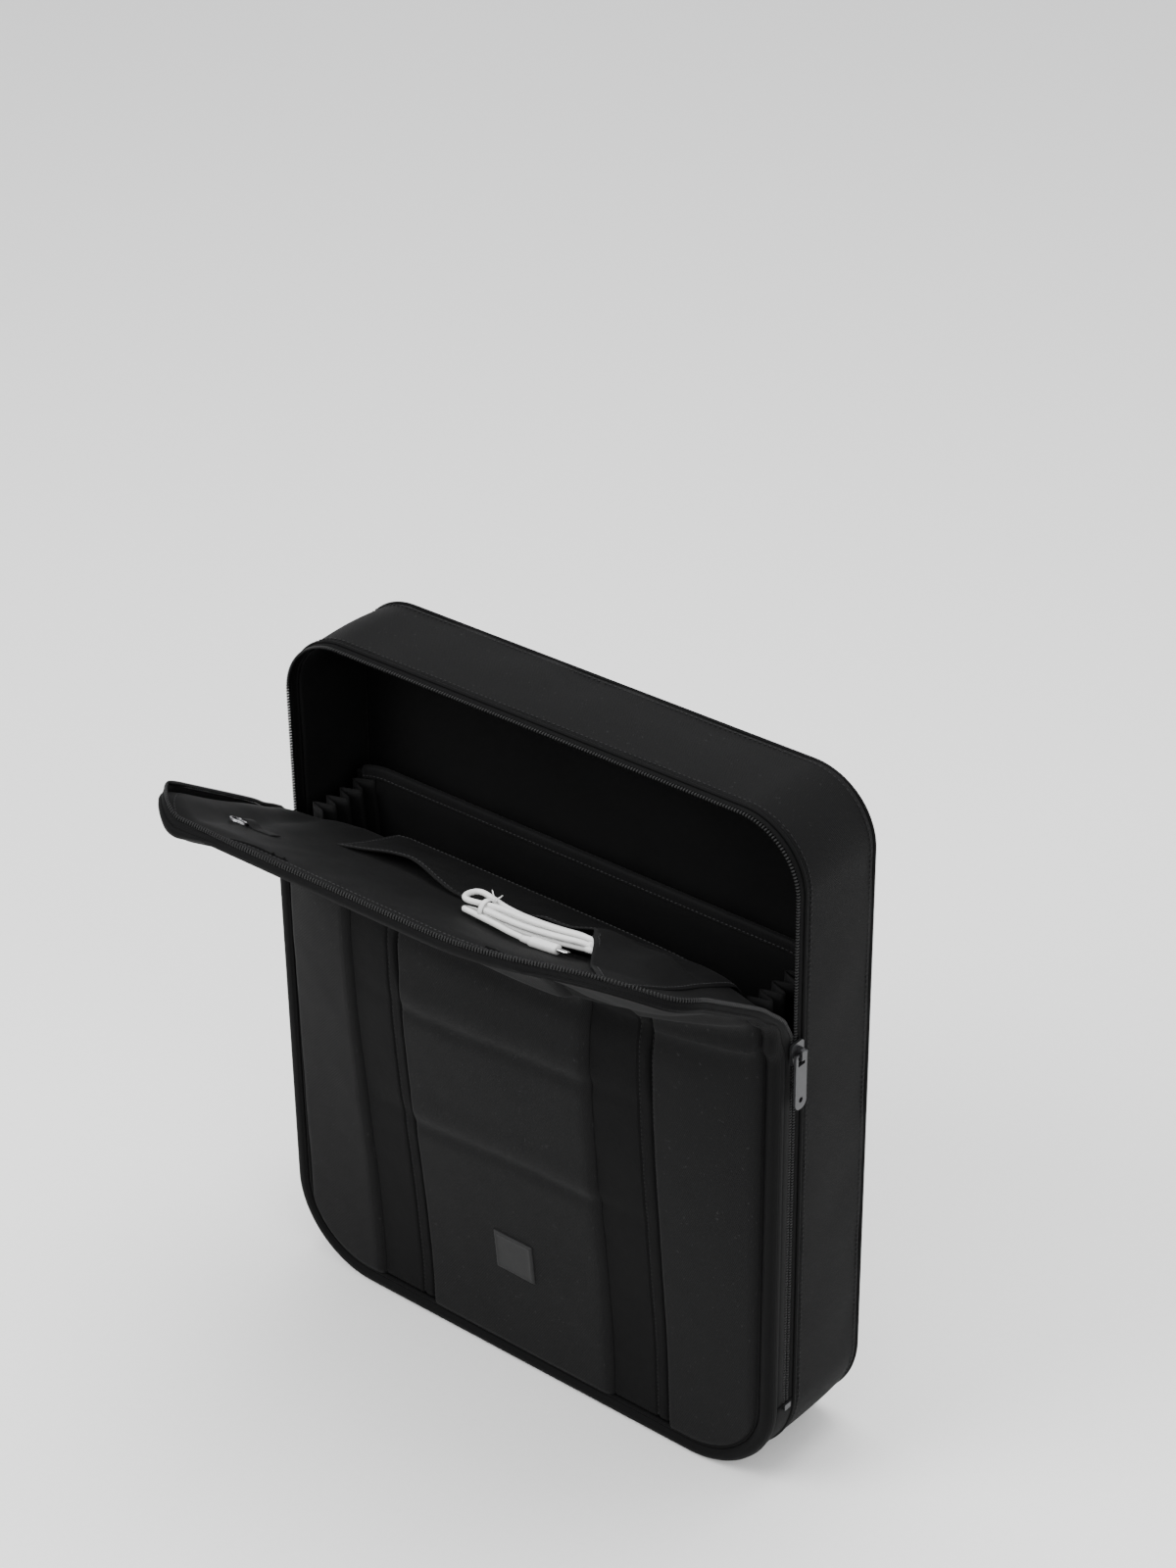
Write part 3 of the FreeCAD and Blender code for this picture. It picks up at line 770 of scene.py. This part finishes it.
def make_strip(name, low, high, recess, left_roll, right_roll, seams):
    """One upright padded strip, from the base to the flap's free edge, as one closed pad."""
    x = strip_columns(low, high, (left_roll, right_roll), seams)
    rows = 156
    bottom, top = bottom_at(x, STRIP_WIDE), top_at(x, STRIP_WIDE)
    share = np.linspace(0, 1, rows)
    ends = np.array([0.003, 0.008, 0.014])
    share = np.sort(np.concatenate([share, ends, 1 - ends]))
    z = bottom + (top - bottom) * share[:, None]
    x = np.broadcast_to(x, z.shape)
    depth = front_depth(x, z) + recess
    roll = 1 - 0.09 * rim_taper(x, z)
    depth = depth + roll * (rolled(x - low, left_roll) + rolled(high - x, right_roll))
    depth = depth + rolled(z - bottom, 6.0) + 0.35 * rolled(top - z, 6.0)
    for k, seam in enumerate(seams):
        slit = smooth((z - 250) / 30) * smooth((300 - z) / 12) * (k == 1)
        depth = depth + (1.1 + 2.6 * slit) * hump((x - seam) / (1.7 + 1.2 * slit))
    inner = FACE - crown(x, z) + PAD_DEEP + 0.3 * rim_taper(x, z)
    front, back = folded(layer(x, depth, z)), folded(layer(x, np.maximum(inner, depth + 1), z))
    pad = hinged(closed_pad(name, front, back, x.shape, BAND if seams else PANEL))
    return pad


def seam_line(x, recess):
    """A line of stitches up the front at one place across it."""
    z = np.arange(14.0, 430.0, 3.0)
    across = np.full_like(z, x)
    depth = front_depth(across, z) + recess
    return folded(np.stack([across, depth, z], 1))


def make_front():
    names = {
        "side_panel_left": ("front_panel_left", "flap_panel_left"),
        "band_left": ("front_band_left", "flap_band_left"),
        "middle_panel": ("front_panel_center", "flap_panel_center", "front_foam", "flap_foam"),
        "band_right": ("front_band_right", "flap_band_right"),
        "side_panel_right": ("front_panel_right", "flap_panel_right"),
    }
    for name, values in STRIPS.items():
        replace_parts(make_strip(name, *values), *names[name])
    lines, away = [], []
    for name in ("band_left", "band_right"):
        for seam in STRIPS[name][5]:
            lines.append(seam_line(seam, STRIPS[name][2] + 0.9))
            away.append(np.array([0, -1.0, 0.2]))
    threads = stitches("seam_stitches", lines, away, THREAD, pitch=3.2, length=2.4, thick=0.7)
    hinged(threads)


make_front()


# ---------------------------------------------------------------- edge strip, tapes and zip
def edge_profile(path):
    """The bound edge between the padded front and the zip tape."""
    inset = np.array([10.6, 9.6, 8.6, 6.5, 4.0, 1.8, 0.4, -0.2, 0.1, 1.0, 4.0, 10.0])
    depth = np.array([-37.0, -40.6, -42.6, -43.9, -44.2, -43.4, -41.6, -39.4, -37.2, -36.2, -36.0, -35.6])
    return inset, thinned(path, depth)


def thinned(path, depth):
    """Depths of the bound edge, pressed towards the zip where the padding thins."""
    taper = rim_taper(path[:, :1], path[:, 1:2])
    return np.where(depth < TAPE_Y, depth + taper * (TAPE_Y - depth) / 7.7 * 0.72, depth) + 0.35 * taper


def piping_profile(path):
    angle = 2 * math.pi * np.arange(8) / 8
    taper = rim_taper(path[:, :1], path[:, 1:2])
    return 10.4 + 1.5 * np.cos(angle), -41.0 + 1.5 * np.sin(angle) + 0.9 * taper


def bent_tape(path):
    """How far the tape splays out along the middle of the flap's free edge."""
    return -smooth((path[:, 1:2] - 400) / 40) * smooth((150 - np.abs(path[:, :1])) / 60)


def front_tape_profile(path):
    lean = bent_tape(path)
    base_inset = np.array([1.2, 0.9, 0.9, 1.9, 2.1, 2.2])
    base_depth = np.array([-36.6, -35.0, -30.9, -30.9, -35.0, -36.6])
    return base_inset + lean * 0.55 * (base_depth + 36.6), base_depth


TEETH_PITCH = 1.9


def teeth(name, path, inset, depth, move):
    """The coil's bars across the chain, one every pitch."""
    lean = bent_tape(path)[:, 0] * (move is not None)
    inset = inset + lean * 0.55 * (depth + 36.6)
    x, z = path[:, 0] - inset * path[:, 2], path[:, 1] - inset * path[:, 3]
    line = np.stack([x, depth + 0 * path[:, 0], z], 1)
    inner = np.stack([path[:, 0], depth + 0 * path[:, 0], path[:, 1]], 1)
    if move is not None:
        line, inner = move(line), move(inner)
    places, along = spaced(line, TEETH_PITCH)
    total = np.linspace(0, len(line) - 1, len(places))
    off = np.stack([np.interp(total, np.arange(len(line)), (inner - line)[:, k]) for k in range(3)], 1)
    off += 1e-4
    across = np.cross(along, off)
    return pellets(name, places, across, off, 1.5, 0.72, 1.05, COIL)


def make_zip():
    full, upper, lower = outline(), upper_outline(), lower_outline()
    strip = sweep("edge_binding", full, edge_profile, EDGE, closed_path=True, move=folded)
    dressed(hinged(strip), "edge_fabric", "front_edge_strip", "flap_edge_strip")
    piping = sweep("edge_piping", full, piping_profile, BAND, closed_path=True, move=folded)
    hinged(piping)
    tape = sweep("front_zip_tape", upper, front_tape_profile, TAPE, move=folded)
    dressed(hinged(tape), "zip_tape", "zip_tape_front_right", "zip_tape_front_left", "zip_tape_flap")
    chain = teeth("front_zip_teeth", upper, 1.5, -29.6, folded)
    dressed(hinged(chain), "zip_coil", "zip_coil_front_right", "zip_coil_front_left", "zip_coil_flap")
    rear = sweep(
        "rear_zip_tape",
        upper,
        lambda path: (np.array([0.9, 0.9, 1.9, 1.9]), np.array([-19.6, -25.1, -25.1, -19.6])),
        TAPE,
    )
    fitted(rear, "pouch", "zip_tape", "zip_tape_rear")
    chain = teeth("rear_zip_teeth", upper, 1.5, -26.4, None)
    fitted(chain, "pouch", "zip_coil", "zip_coil_rear")
    floor = sweep(
        "bottom_tape",
        lower,
        lambda path: (
            np.array([0.8, 0.5, 0.5, 0.8, 2.0, 2.0]),
            np.array([-36.3, -35.6, -20.4, -19.7, -19.7, -36.3]),
        ),
        TAPE,
    )
    fitted(floor, "pouch", "zip_tape", "bottom_seam_tape")
    for side in ("right", "left"):
        for part in ("slider", "pull"):
            metal_piece(f"{part}_{side}", 0.35)
        metal_piece(f"zip_stop_{side}", 0.25)


def metal_piece(node, edge):
    """A zinc casting: the CAD solid with its edges eased."""
    obj = frame["nodes"][node]
    obj.data.materials.clear()
    obj.data.materials.append(METAL)
    ease = obj.modifiers.new("eased_edges", "BEVEL")
    ease.width = edge * MM
    ease.segments = 3
    ease.limit_method = "ANGLE"
    ease.angle_limit = math.radians(35)
    for face in obj.data.polygons:
        face.use_smooth = True
    weigh = obj.modifiers.new("flat_faces", "WEIGHTED_NORMAL")
    weigh.keep_sharp = True


make_zip()


# ---------------------------------------------------------------- walls behind the zip
def wrinkled(points, size, amount, seed):
    """Moves the points of a wall off it by a soft unevenness, along the outline's normal."""
    centre = np.array([0.0, 0.0, TALL / 2])
    away = points - centre
    away[:, 1] = 0
    away /= np.linalg.norm(away, axis=1, keepdims=True)
    moved = points + away * (amount * uneven(points, size, seed))[:, None]
    moved[:, 2] = np.maximum(moved[:, 2], 0.05)
    return moved


def gusset_profile(path):
    outer = np.linspace(-19.7, 41.0, 15)
    swell = -1.0 * np.sin(np.pi * (outer + 19.7) / 60.7)
    inner = outer[::-1]
    return np.concatenate([0.3 + swell, 2.4 + 0 * inner]), np.concatenate([outer, inner])


def flat_grid(x_step, z_step, inset, depth):
    """A grid that fills the outline at one inset: its x and z, and its points."""
    reach = HALF - inset
    x = reach * np.sin(np.linspace(-1, 1, int(2 * reach / x_step)) * math.pi / 2)
    bottom, top = bottom_at(x, inset), top_at(x, inset)
    share = np.linspace(0, 1, int(TALL / z_step))[:, None]
    z = bottom + (top - bottom) * share
    x = np.broadcast_to(x, z.shape)
    return x, z, np.stack([x.ravel(), np.full(x.size, depth), z.ravel()], 1)


def make_walls():
    full = outline()
    gusset = sweep(
        "gusset_wall",
        full,
        gusset_profile,
        GUSSET,
        closed_path=True,
        move=lambda p: wrinkled(p, 38.0, 0.8, 4.0),
    )
    fitted(gusset, "pouch", "gusset_fabric", "gusset_rear")
    for name, depth in (("gusset_front_seam", -20.6), ("gusset_back_seam", 41.6)):
        angle = 2 * math.pi * np.arange(8) / 8
        cord = sweep(
            name,
            full,
            lambda path, a=angle, d=depth: (0.6 + 1.25 * np.cos(a), d + 1.25 * np.sin(a)),
            EDGE,
            closed_path=True,
        )
        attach(cord, "pouch")
    rows = []
    for depth in (-16.6, 37.6):
        across, up = full[:, 0] + 0.05 * full[:, 2], full[:, 1] + 0.05 * full[:, 3]
        rows.append(np.stack([across, depth + 0 * full[:, 0], up], 1))
    rows = [line[line[:, 2] > 2] for line in rows]
    places, along, away = [], [], []
    for line in rows:
        p, d = spaced(line, 3.4)
        places.append(p)
        along.append(d)
        out = p * np.array([1, 0, 1]) - np.array([0, 0, TALL / 2])
        away.append(out)
    keep = np.linalg.norm(np.concatenate(along), axis=1) > 0.5
    threads = pellets(
        "gusset_stitches",
        np.concatenate(places)[keep],
        np.concatenate(along)[keep],
        np.concatenate(away)[keep],
        1.2,
        0.34,
        0.5,
        THREAD,
    )
    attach(threads, "pouch")
    x, _, points = flat_grid(4.0, 4.0, 1.0, 41.4)
    swell = 1.2 * (1 - (np.abs(points[:, 0]) / HALF) ** 4) + 0.5 * uneven(points, 40.0, 7.0)
    cover = back_cover(points, x.shape, swell)
    fitted(cover, "pouch", "gusset_fabric", "back_panel")
    board = frame["nodes"]["back_board"]
    board.data.materials.clear()
    board.data.materials.append(BOARD)


def back_cover(points, shape, swell):
    """The padded cloth that lies against the case, slightly crowned and rounded at its edge."""
    x, z = points[:, 0], points[:, 2]
    edge_gap = np.minimum.reduce([z - bottom_at(x, 1.0), top_at(x, 1.0) - z, HALF - 1.0 - np.abs(x)])
    front = points.copy()
    front[:, 1] = 41.2
    back = points.copy()
    back[:, 1] = BACK - 0.2 - rolled(np.clip(edge_gap, 0, 4), 4.0) * 0.6 + swell * smooth(edge_gap / 20) * 0.5
    return closed_pad("back_cloth", front, back, shape, GUSSET)


make_walls()


# ---------------------------------------------------------------- inside of the main compartment
def make_compartment():
    full = outline()
    depth = np.linspace(-19.4, 37.5, 20)
    wall = sweep(
        "compartment_wall_cloth",
        full,
        lambda path: (4.2 + 0.0 * depth, depth),
        DEEP_LINING,
        closed_path=True,
        closed_profile=False,
        move=lambda p: wrinkled(p, 26.0, 1.1, 11.0),
    )
    thicken(wall, 0.6)
    fitted(wall, "pouch", "lining_fabric", "compartment_lining")
    x, z, points = flat_grid(5.0, 5.0, 4.0, 38.0)
    near_edge = np.minimum.reduce([z - bottom_at(x, 4.0), top_at(x, 4.0) - z, HALF - 4.0 - np.abs(x)]).ravel()
    points[:, 1] -= 1.8 * smooth(near_edge / 30) * (0.6 + uneven(points, 60.0, 2.0))
    back = make("compartment_back_cloth", points, grid_faces(*x.shape), DEEP_LINING)
    thicken(back, 0.6)
    fitted(back, "pouch", "lining_fabric")


def thicken(obj, thick):
    solid = obj.modifiers.new("cloth_thickness", "SOLIDIFY")
    solid.thickness = thick * MM
    solid.offset = 0


make_compartment()


# ---------------------------------------------------------------- divider and its bellows
DIVIDER_LOW, DIVIDER_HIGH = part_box("laptop_divider")


def make_divider():
    """The padded wall between the laptop sleeve and the main compartment, with its bound top edge."""
    reach = DIVIDER_HIGH.x / MM
    low, high = DIVIDER_LOW.z / MM + 0.5, DIVIDER_HIGH.z / MM
    middle = (DIVIDER_LOW.y + DIVIDER_HIGH.y) / 2 / MM
    count = 70
    x = reach * np.sin(np.linspace(-1, 1, count) * math.pi / 2)
    corner = np.clip(np.abs(x) - 150, 0, None)
    bottom = low + 44 * (1 - np.sqrt(np.clip(1 - (np.clip(np.abs(x) - 126, 0, None) / 49) ** 2, 0, None)))
    top = high - 0.035 * corner**1.6
    share = np.linspace(0, 1, 90)[:, None]
    z = bottom + (top - bottom) * share
    x = np.broadcast_to(x, z.shape)
    gap = np.minimum.reduce([z - bottom, top - z, reach - np.abs(x)])
    puff = 1.7 * smooth(gap / 14) + 0.35
    loose = (0.5 * uneven(layer(x, 0 * x, z), 50.0, 21.0)).reshape(x.shape) * smooth(gap / 20)
    front, back = layer(x, middle - puff + loose, z), layer(x, middle + puff + loose, z)
    pad = closed_pad("divider_pad", front, back, x.shape, LINING)
    fitted(pad, "divider", "lining_fabric", "laptop_divider")
    x = np.linspace(-reach + 6, reach - 6, 120)
    corner = np.clip(np.abs(x) - 150, 0, None)
    crest = high - 0.035 * corner**1.6
    angle = 2 * math.pi * np.arange(14) / 14
    wide, tall = 2.5, 4.4
    ring_y = wide * np.sign(np.cos(angle)) * np.abs(np.cos(angle)) ** 0.7
    ring_z = tall * np.sign(np.sin(angle)) * np.abs(np.sin(angle)) ** 0.7
    points = np.stack(
        [
            np.repeat(x, 14),
            middle + np.tile(ring_y, len(x)),
            np.repeat(crest, 14) - 1.6 + np.tile(ring_z, len(x)),
        ],
        1,
    )
    hem = closed_tube("divider_hem", points, len(x), 14, BINDING)
    fitted(hem, "divider", "edge_fabric", "divider_binding")
    lines = [np.stack([x, np.full_like(x, middle - 2.6), crest - 3.4], 1)]
    threads = stitches("divider_stitches", lines, [np.array([0, -1.0, 0])], PALE_THREAD, pitch=3.0)
    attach(threads, "divider")


PLEATS = 4


def make_bellows(side, sign):
    """Pleated gusset between the divider and the front lining."""
    low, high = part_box(f"sleeve_bellows_{side}")
    near, far = low.y / MM, high.y / MM
    inner, outer = sorted((abs(low.x), abs(high.x)))
    inner, outer = inner / MM + 1, outer / MM - 1
    z = np.linspace(low.z / MM, high.z / MM, 46)
    y = np.linspace(near, far, PLEATS * 8 + 1)
    wave = np.abs(((y - near) / (far - near) * PLEATS) % 1 - 0.5) * 2
    wave = smooth(wave)
    points = []
    for level in z:
        squeeze = 0.86 + 0.14 * math.sin(level / 33)
        across = inner + (outer - inner) * (1 - wave * squeeze)
        droop = 2.2 * np.sin(np.pi * (y - near) / (far - near)) * smooth((level - 200) / 130)
        points.append(np.stack([sign * across, y, level - droop], 1))
    points = np.concatenate(points)
    points[:, 0] += 0.5 * uneven(points, 22.0, 31.0)
    fold = make(f"bellows_{side}", points, grid_faces(len(z), len(y)), DEEP_LINING)
    thicken(fold, 0.7)
    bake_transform(fold)
    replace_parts(fold, f"sleeve_bellows_{side}")


make_divider()
make_bellows("right", 1)
make_bellows("left", -1)


# ---------------------------------------------------------------- lining, pocket and key ring
THICK_AT = (
    (-60, 38), (0, 38.5), (10, 37.5), (24, 33.5), (40, 29.5), (60, 25.4),
    (70, 22.6), (80, 20.6), (90, 19.2), (120, 17.2), (150, 14.8),
)
SEAM_INSET = 2.7


def lining_points(x, reach):
    """The flap's lining at rest: soft over the padding, and down to the zip tape at its edges."""
    x, reach = np.broadcast_arrays(np.asarray(x, float), np.asarray(reach, float))
    reaches, lifts = zip(*THICK_AT)
    middle = on_flap(x, np.interp(reach, reaches, lifts) + 0.8 * curl(x, reach), reach)
    centre = smooth((150 - np.abs(x)) / 60)
    seam_y = -35.0 + 5.4 * centre
    edge = folded(np.stack([x.ravel(), seam_y.ravel(), (FOLD_Z + reach).ravel()], 1))
    gap = top_at(x, SEAM_INSET) - FOLD_Z - reach
    share = (1 - np.clip(np.abs(x) / 185.4, 0, 1) ** 7) * smooth(gap / 16)
    return edge + (middle - edge) * share.ravel()[:, None]


INNER_ROWS = (
    (-33.4, 9.0), (-33.2, 90.0), (-32.8, 180.0), (-32.0, 240.0),
    (-29.8, 275.0), (-26.8, 300.0), (-24.8, 316.0), (-25.4, 327.0),
)


def make_lining():
    """One sheet from inside the front, over the soft crest at the fold, to the flap's free edge."""
    x = 185.4 * np.sin(np.linspace(-1, 1, 150) * math.pi / 2 * 0.96) / math.sin(math.pi / 2 * 0.96)
    rows = []
    knots_y, knots_z = zip(*INNER_ROWS)
    lengths = np.concatenate([[0], np.cumsum(np.hypot(np.diff(knots_y), np.diff(knots_z)))])
    side = np.clip(np.abs(x) / 185.4, 0, 1) ** 7
    for along in np.linspace(0, lengths[-1], 90):
        y, z = np.interp(along, lengths, knots_y), np.interp(along, lengths, knots_z)
        low = bottom_at(x, 9.0)
        height = low + (z - 9.0) * (327.0 - low) / (327.0 - 9.0)
        depth = y + (-33.0 - y) * side
        rows.append(np.stack([x, depth, height - 22.0 * side * smooth((z - 250) / 77)], 1))
    splay = 2.6 * smooth((150 - np.abs(x)) / 60)
    top = top_at(x, SEAM_INSET) + splay - FOLD_Z
    crest_reach = 6.0
    for share in np.linspace(0, 1, 66)[1:]:
        rows.append(lining_points(x, crest_reach + (top - crest_reach) * share))
    points = np.array(rows)
    joint = slice(70, 112)
    for _ in range(14):
        mean = (points[:-2] + points[2:]) / 2
        points[1:-1][joint] += 0.5 * (mean - points[1:-1])[joint]
    r, c = points.shape[:2]
    flat = points.reshape(-1, 3)
    amount = 0.9 * uneven(flat, 34.0, 40.0) + 0.4 * uneven(flat * np.array([1, 0.5, 0.5]), 13.0, 44.0)
    border = np.ones((r, c))
    border *= smooth(edge_order(r) / 6)[:, None]
    border *= smooth(edge_order(c) / 6)[None]
    flat = flat + FLAP_IN * (amount * border.ravel())[:, None]
    sheet = make("front_lining_cloth", flat, grid_faces(r, c), LINING)
    thicken(sheet, 0.7)
    hinged(sheet)
    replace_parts(sheet, "front_lining", "flap_lining")
    return sheet


def mouth_reach(x):
    """Reach of the slip pocket's mouth: level behind the cable, then out to the flap's free edge."""
    level = 60.0 + 1.5 * np.sin(x / 40)
    return level + 74.0 * np.clip((x - 86) / 58, 0, 1) ** 0.92 - 3.0 * hump((x + 55) / 40)


def make_pocket():
    left, right = -100.0, 158.0
    x = np.sort(np.concatenate([np.linspace(left, right, 100), np.linspace(82, 96, 9)]))
    root = 7.0
    mouth = mouth_reach(x)
    for _ in range(6):
        mouth[1:-1] = (mouth[:-2] + 2 * mouth[1:-1] + mouth[2:]) / 4
    rows = []
    for share in np.linspace(0, 1, 46):
        reach = root + (mouth - root) * share
        sides = smooth((x - left) / 10) * smooth((right - x) / 10)
        gape = 7.0 * hump((x + 52) / 48) * share**2.5
        over = (8.0 * smooth((x - 15) / 40) + 3.9 * hump((x - 94) / 28)) * smooth((156 - x) / 26)
        over = over * smooth((reach - 46) / 14) * smooth((104 - reach) / 20)
        lift = 0.9 + sides * (0.9 + gape + over)
        rows.append(lining_points(x, reach) + FLAP_IN * lift[:, None])
    points = np.array(rows)
    r, c = points.shape[:2]
    flat = points.reshape(-1, 3)
    amount = 0.6 * uneven(flat, 24.0, 60.0) + 0.3 * uneven(flat, 9.0, 64.0)
    border = smooth(np.minimum(np.arange(r) / 5, 1))[:, None] * smooth(edge_order(c) / 5)[None]
    flat = flat + FLAP_IN * (np.maximum(amount, -0.4) * border.ravel())[:, None]
    cloth_piece = make("slip_pocket_cloth", flat, grid_faces(r, c), LINING)
    thicken(cloth_piece, 0.7)
    fitted(cloth_piece, "flap", "lining_fabric", "slip_pocket")
    grid = flat.reshape(r, c, 3)
    lip = grid[-1]
    run = np.gradient(lip, axis=0)
    run /= np.linalg.norm(run, axis=1, keepdims=True)
    ahead = np.cross(FLAP_IN, run)
    ahead *= np.sign((ahead @ FLAP_OUTWARD))[:, None]
    angle = 2 * math.pi * np.arange(10) / 10
    tube = (
        (lip - ahead * 1.4)[:, None]
        + ahead[:, None] * (2.2 * np.cos(angle))[None, :, None]
        + FLAP_IN * (0.8 * np.sin(angle))[None, :, None]
    )
    hem = closed_tube("slip_pocket_hem", tube.reshape(-1, 3), c, 10, BINDING)
    fitted(hem, "flap", "edge_fabric", "pocket_binding")
    lines = [lip - ahead * 2.6 + FLAP_IN * 0.8]
    lines += [grid[:, 1] + FLAP_IN * 0.5, grid[:, -2] + FLAP_IN * 0.5, grid[1] + FLAP_IN * 0.5]
    threads = stitches("slip_pocket_stitches", lines, [FLAP_IN] * 4, PALE_THREAD, pitch=3.0)
    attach(threads, "flap")


def make_rim():
    """The stitch row along the flap's free edge, where its lining is sewn down."""
    x = np.linspace(-178, 178, 260)
    reach = top_at(x, 8.5) - FOLD_Z
    line = lining_points(x, reach) + FLAP_IN * 0.7
    threads = stitches("rim_stitches", [line], [FLAP_IN], PALE_THREAD, pitch=3.2, length=2.2)
    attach(threads, "flap")


RING_UP, RING_SIDE = FLAP_OUTWARD, FLAP_IN
RING_RADIUS, RING_WIRE, RING_TURNS = 6.4, 0.62, 2.0


def make_key_holder():
    """A webbing tab sewn to the flap's lining and the split ring in it."""
    ring_low, ring_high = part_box("key_ring")
    ring_middle = np.array((ring_low + ring_high) / 2 / MM)
    count, sides = 96, 10
    across = np.array([1.0, 0, 0])
    rows = []
    for k in range(count + 1):
        angle = 2 * math.pi * RING_TURNS * k / count
        out = math.cos(angle) * across + math.sin(angle) * RING_UP
        centre = ring_middle + RING_RADIUS * out + RING_SIDE * (1.25 * (k / count - 0.5))
        for j in range(sides):
            turn = 2 * math.pi * j / sides
            rows.append(centre + RING_WIRE * (math.cos(turn) * out + math.sin(turn) * RING_SIDE))
    ring = closed_tube("split_ring", rows, count + 1, sides, WIRE)
    fitted(ring, "key_ring", "steel", "key_ring")
    make_webbing()


def make_webbing():
    """Soft webbing that runs from the ring back over the lining."""
    low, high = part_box("key_tab")
    x0, x1 = low.x / MM - 0.4, high.x / MM + 9.0
    x = np.linspace(x0, x1, 30)
    reach, half = 90.0, 4.6
    section = ((-1, 0), (-0.9, 0.55), (0, 0.8), (0.9, 0.55), (1, 0), (0, -0.6))
    points = []
    for place in x:
        rise = 3.4 * float(smooth((x0 + 12 - place) / 10)) + 0.9
        for along, up in section:
            points.append(lining_points(place, reach + along * half)[0] + FLAP_IN * (rise + up))
    strap = closed_tube("key_tab_webbing", points, len(x), len(section), BINDING)
    fitted(strap, "flap", "edge_fabric", "key_tab")


lining = make_lining()
make_pocket()
make_rim()
make_key_holder()


# ---------------------------------------------------------------- patch
def make_patch():
    """A soft square patch with a raised rim, sewn on the middle panel."""
    low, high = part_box("patch")
    x0, x1, z0, z1 = low.x / MM, high.x / MM, low.z / MM, high.z / MM
    count = 28
    u = np.sin(np.linspace(-1, 1, count) * math.pi / 2)
    x, z = np.meshgrid((x0 + x1) / 2 + (x1 - x0) / 2 * u, (z0 + z1) / 2 + (z1 - z0) / 2 * u)
    gap = np.minimum((x1 - x0) / 2 - np.abs(x - (x0 + x1) / 2), (z1 - z0) / 2 - np.abs(z - (z0 + z1) / 2))
    rim = 0.45 * hump((gap - 1.5) / 1.3)
    thick = 1.35 - 0.9 * np.clip(1 - gap / 0.9, 0, 1) ** 2 + rim
    cloth_y = front_depth(x, z)
    tile = closed_pad("patch_tile", layer(x, cloth_y - thick, z), layer(x, cloth_y + 0.5, z), x.shape, RUBBER)
    fitted(tile, "pouch", "patch", "patch")


make_patch()


# ---------------------------------------------------------------- floor and light
def area_light(name, place, target, size, power, colour=(1, 1, 1)):
    data = bpy.data.lights.new(name, "AREA")
    data.shape = "DISK"
    data.size = size
    data.energy = power
    data.color = colour
    lamp = bpy.data.objects.new(name, data)
    bpy.context.collection.objects.link(lamp)
    lamp.location = place
    lamp.rotation_euler = (Vector(target) - Vector(place)).to_track_quat("-Z", "Y").to_euler()


def make_studio():
    ground = bpy.data.meshes.new("floor")
    reach, depth = 6.0, -0.0008
    corners = [(a * reach, b * reach, depth) for a, b in ((-1, -1), (1, -1), (1, 1), (-1, 1))]
    ground.from_pydata(corners, [], [(0, 1, 2, 3)])
    floor = bpy.data.objects.new("floor", ground)
    bpy.context.collection.objects.link(floor)
    paper = plain("floor_paper", (0.90, 0.90, 0.89), 0.7, amount=0.01, grain=40.0)
    ground.materials.append(paper)
    world = bpy.data.worlds.new("studio")
    bpy.context.scene.world = world
    world.use_nodes = True
    background = next(n for n in world.node_tree.nodes if n.type == "BACKGROUND")
    background.inputs[0].default_value = (0.98, 0.985, 1.0, 1)
    background.inputs[1].default_value = 1.15
    area_light("key", (-0.9, -1.6, 1.9), (0, 0, 0.2), 1.4, 50.0)
    area_light("fill", (1.9, -0.9, 1.3), (0, 0, 0.25), 1.6, 26.0)
    area_light("top", (0.1, 0.3, 2.2), (0, -0.05, 0.3), 1.5, 34.0)


make_studio()
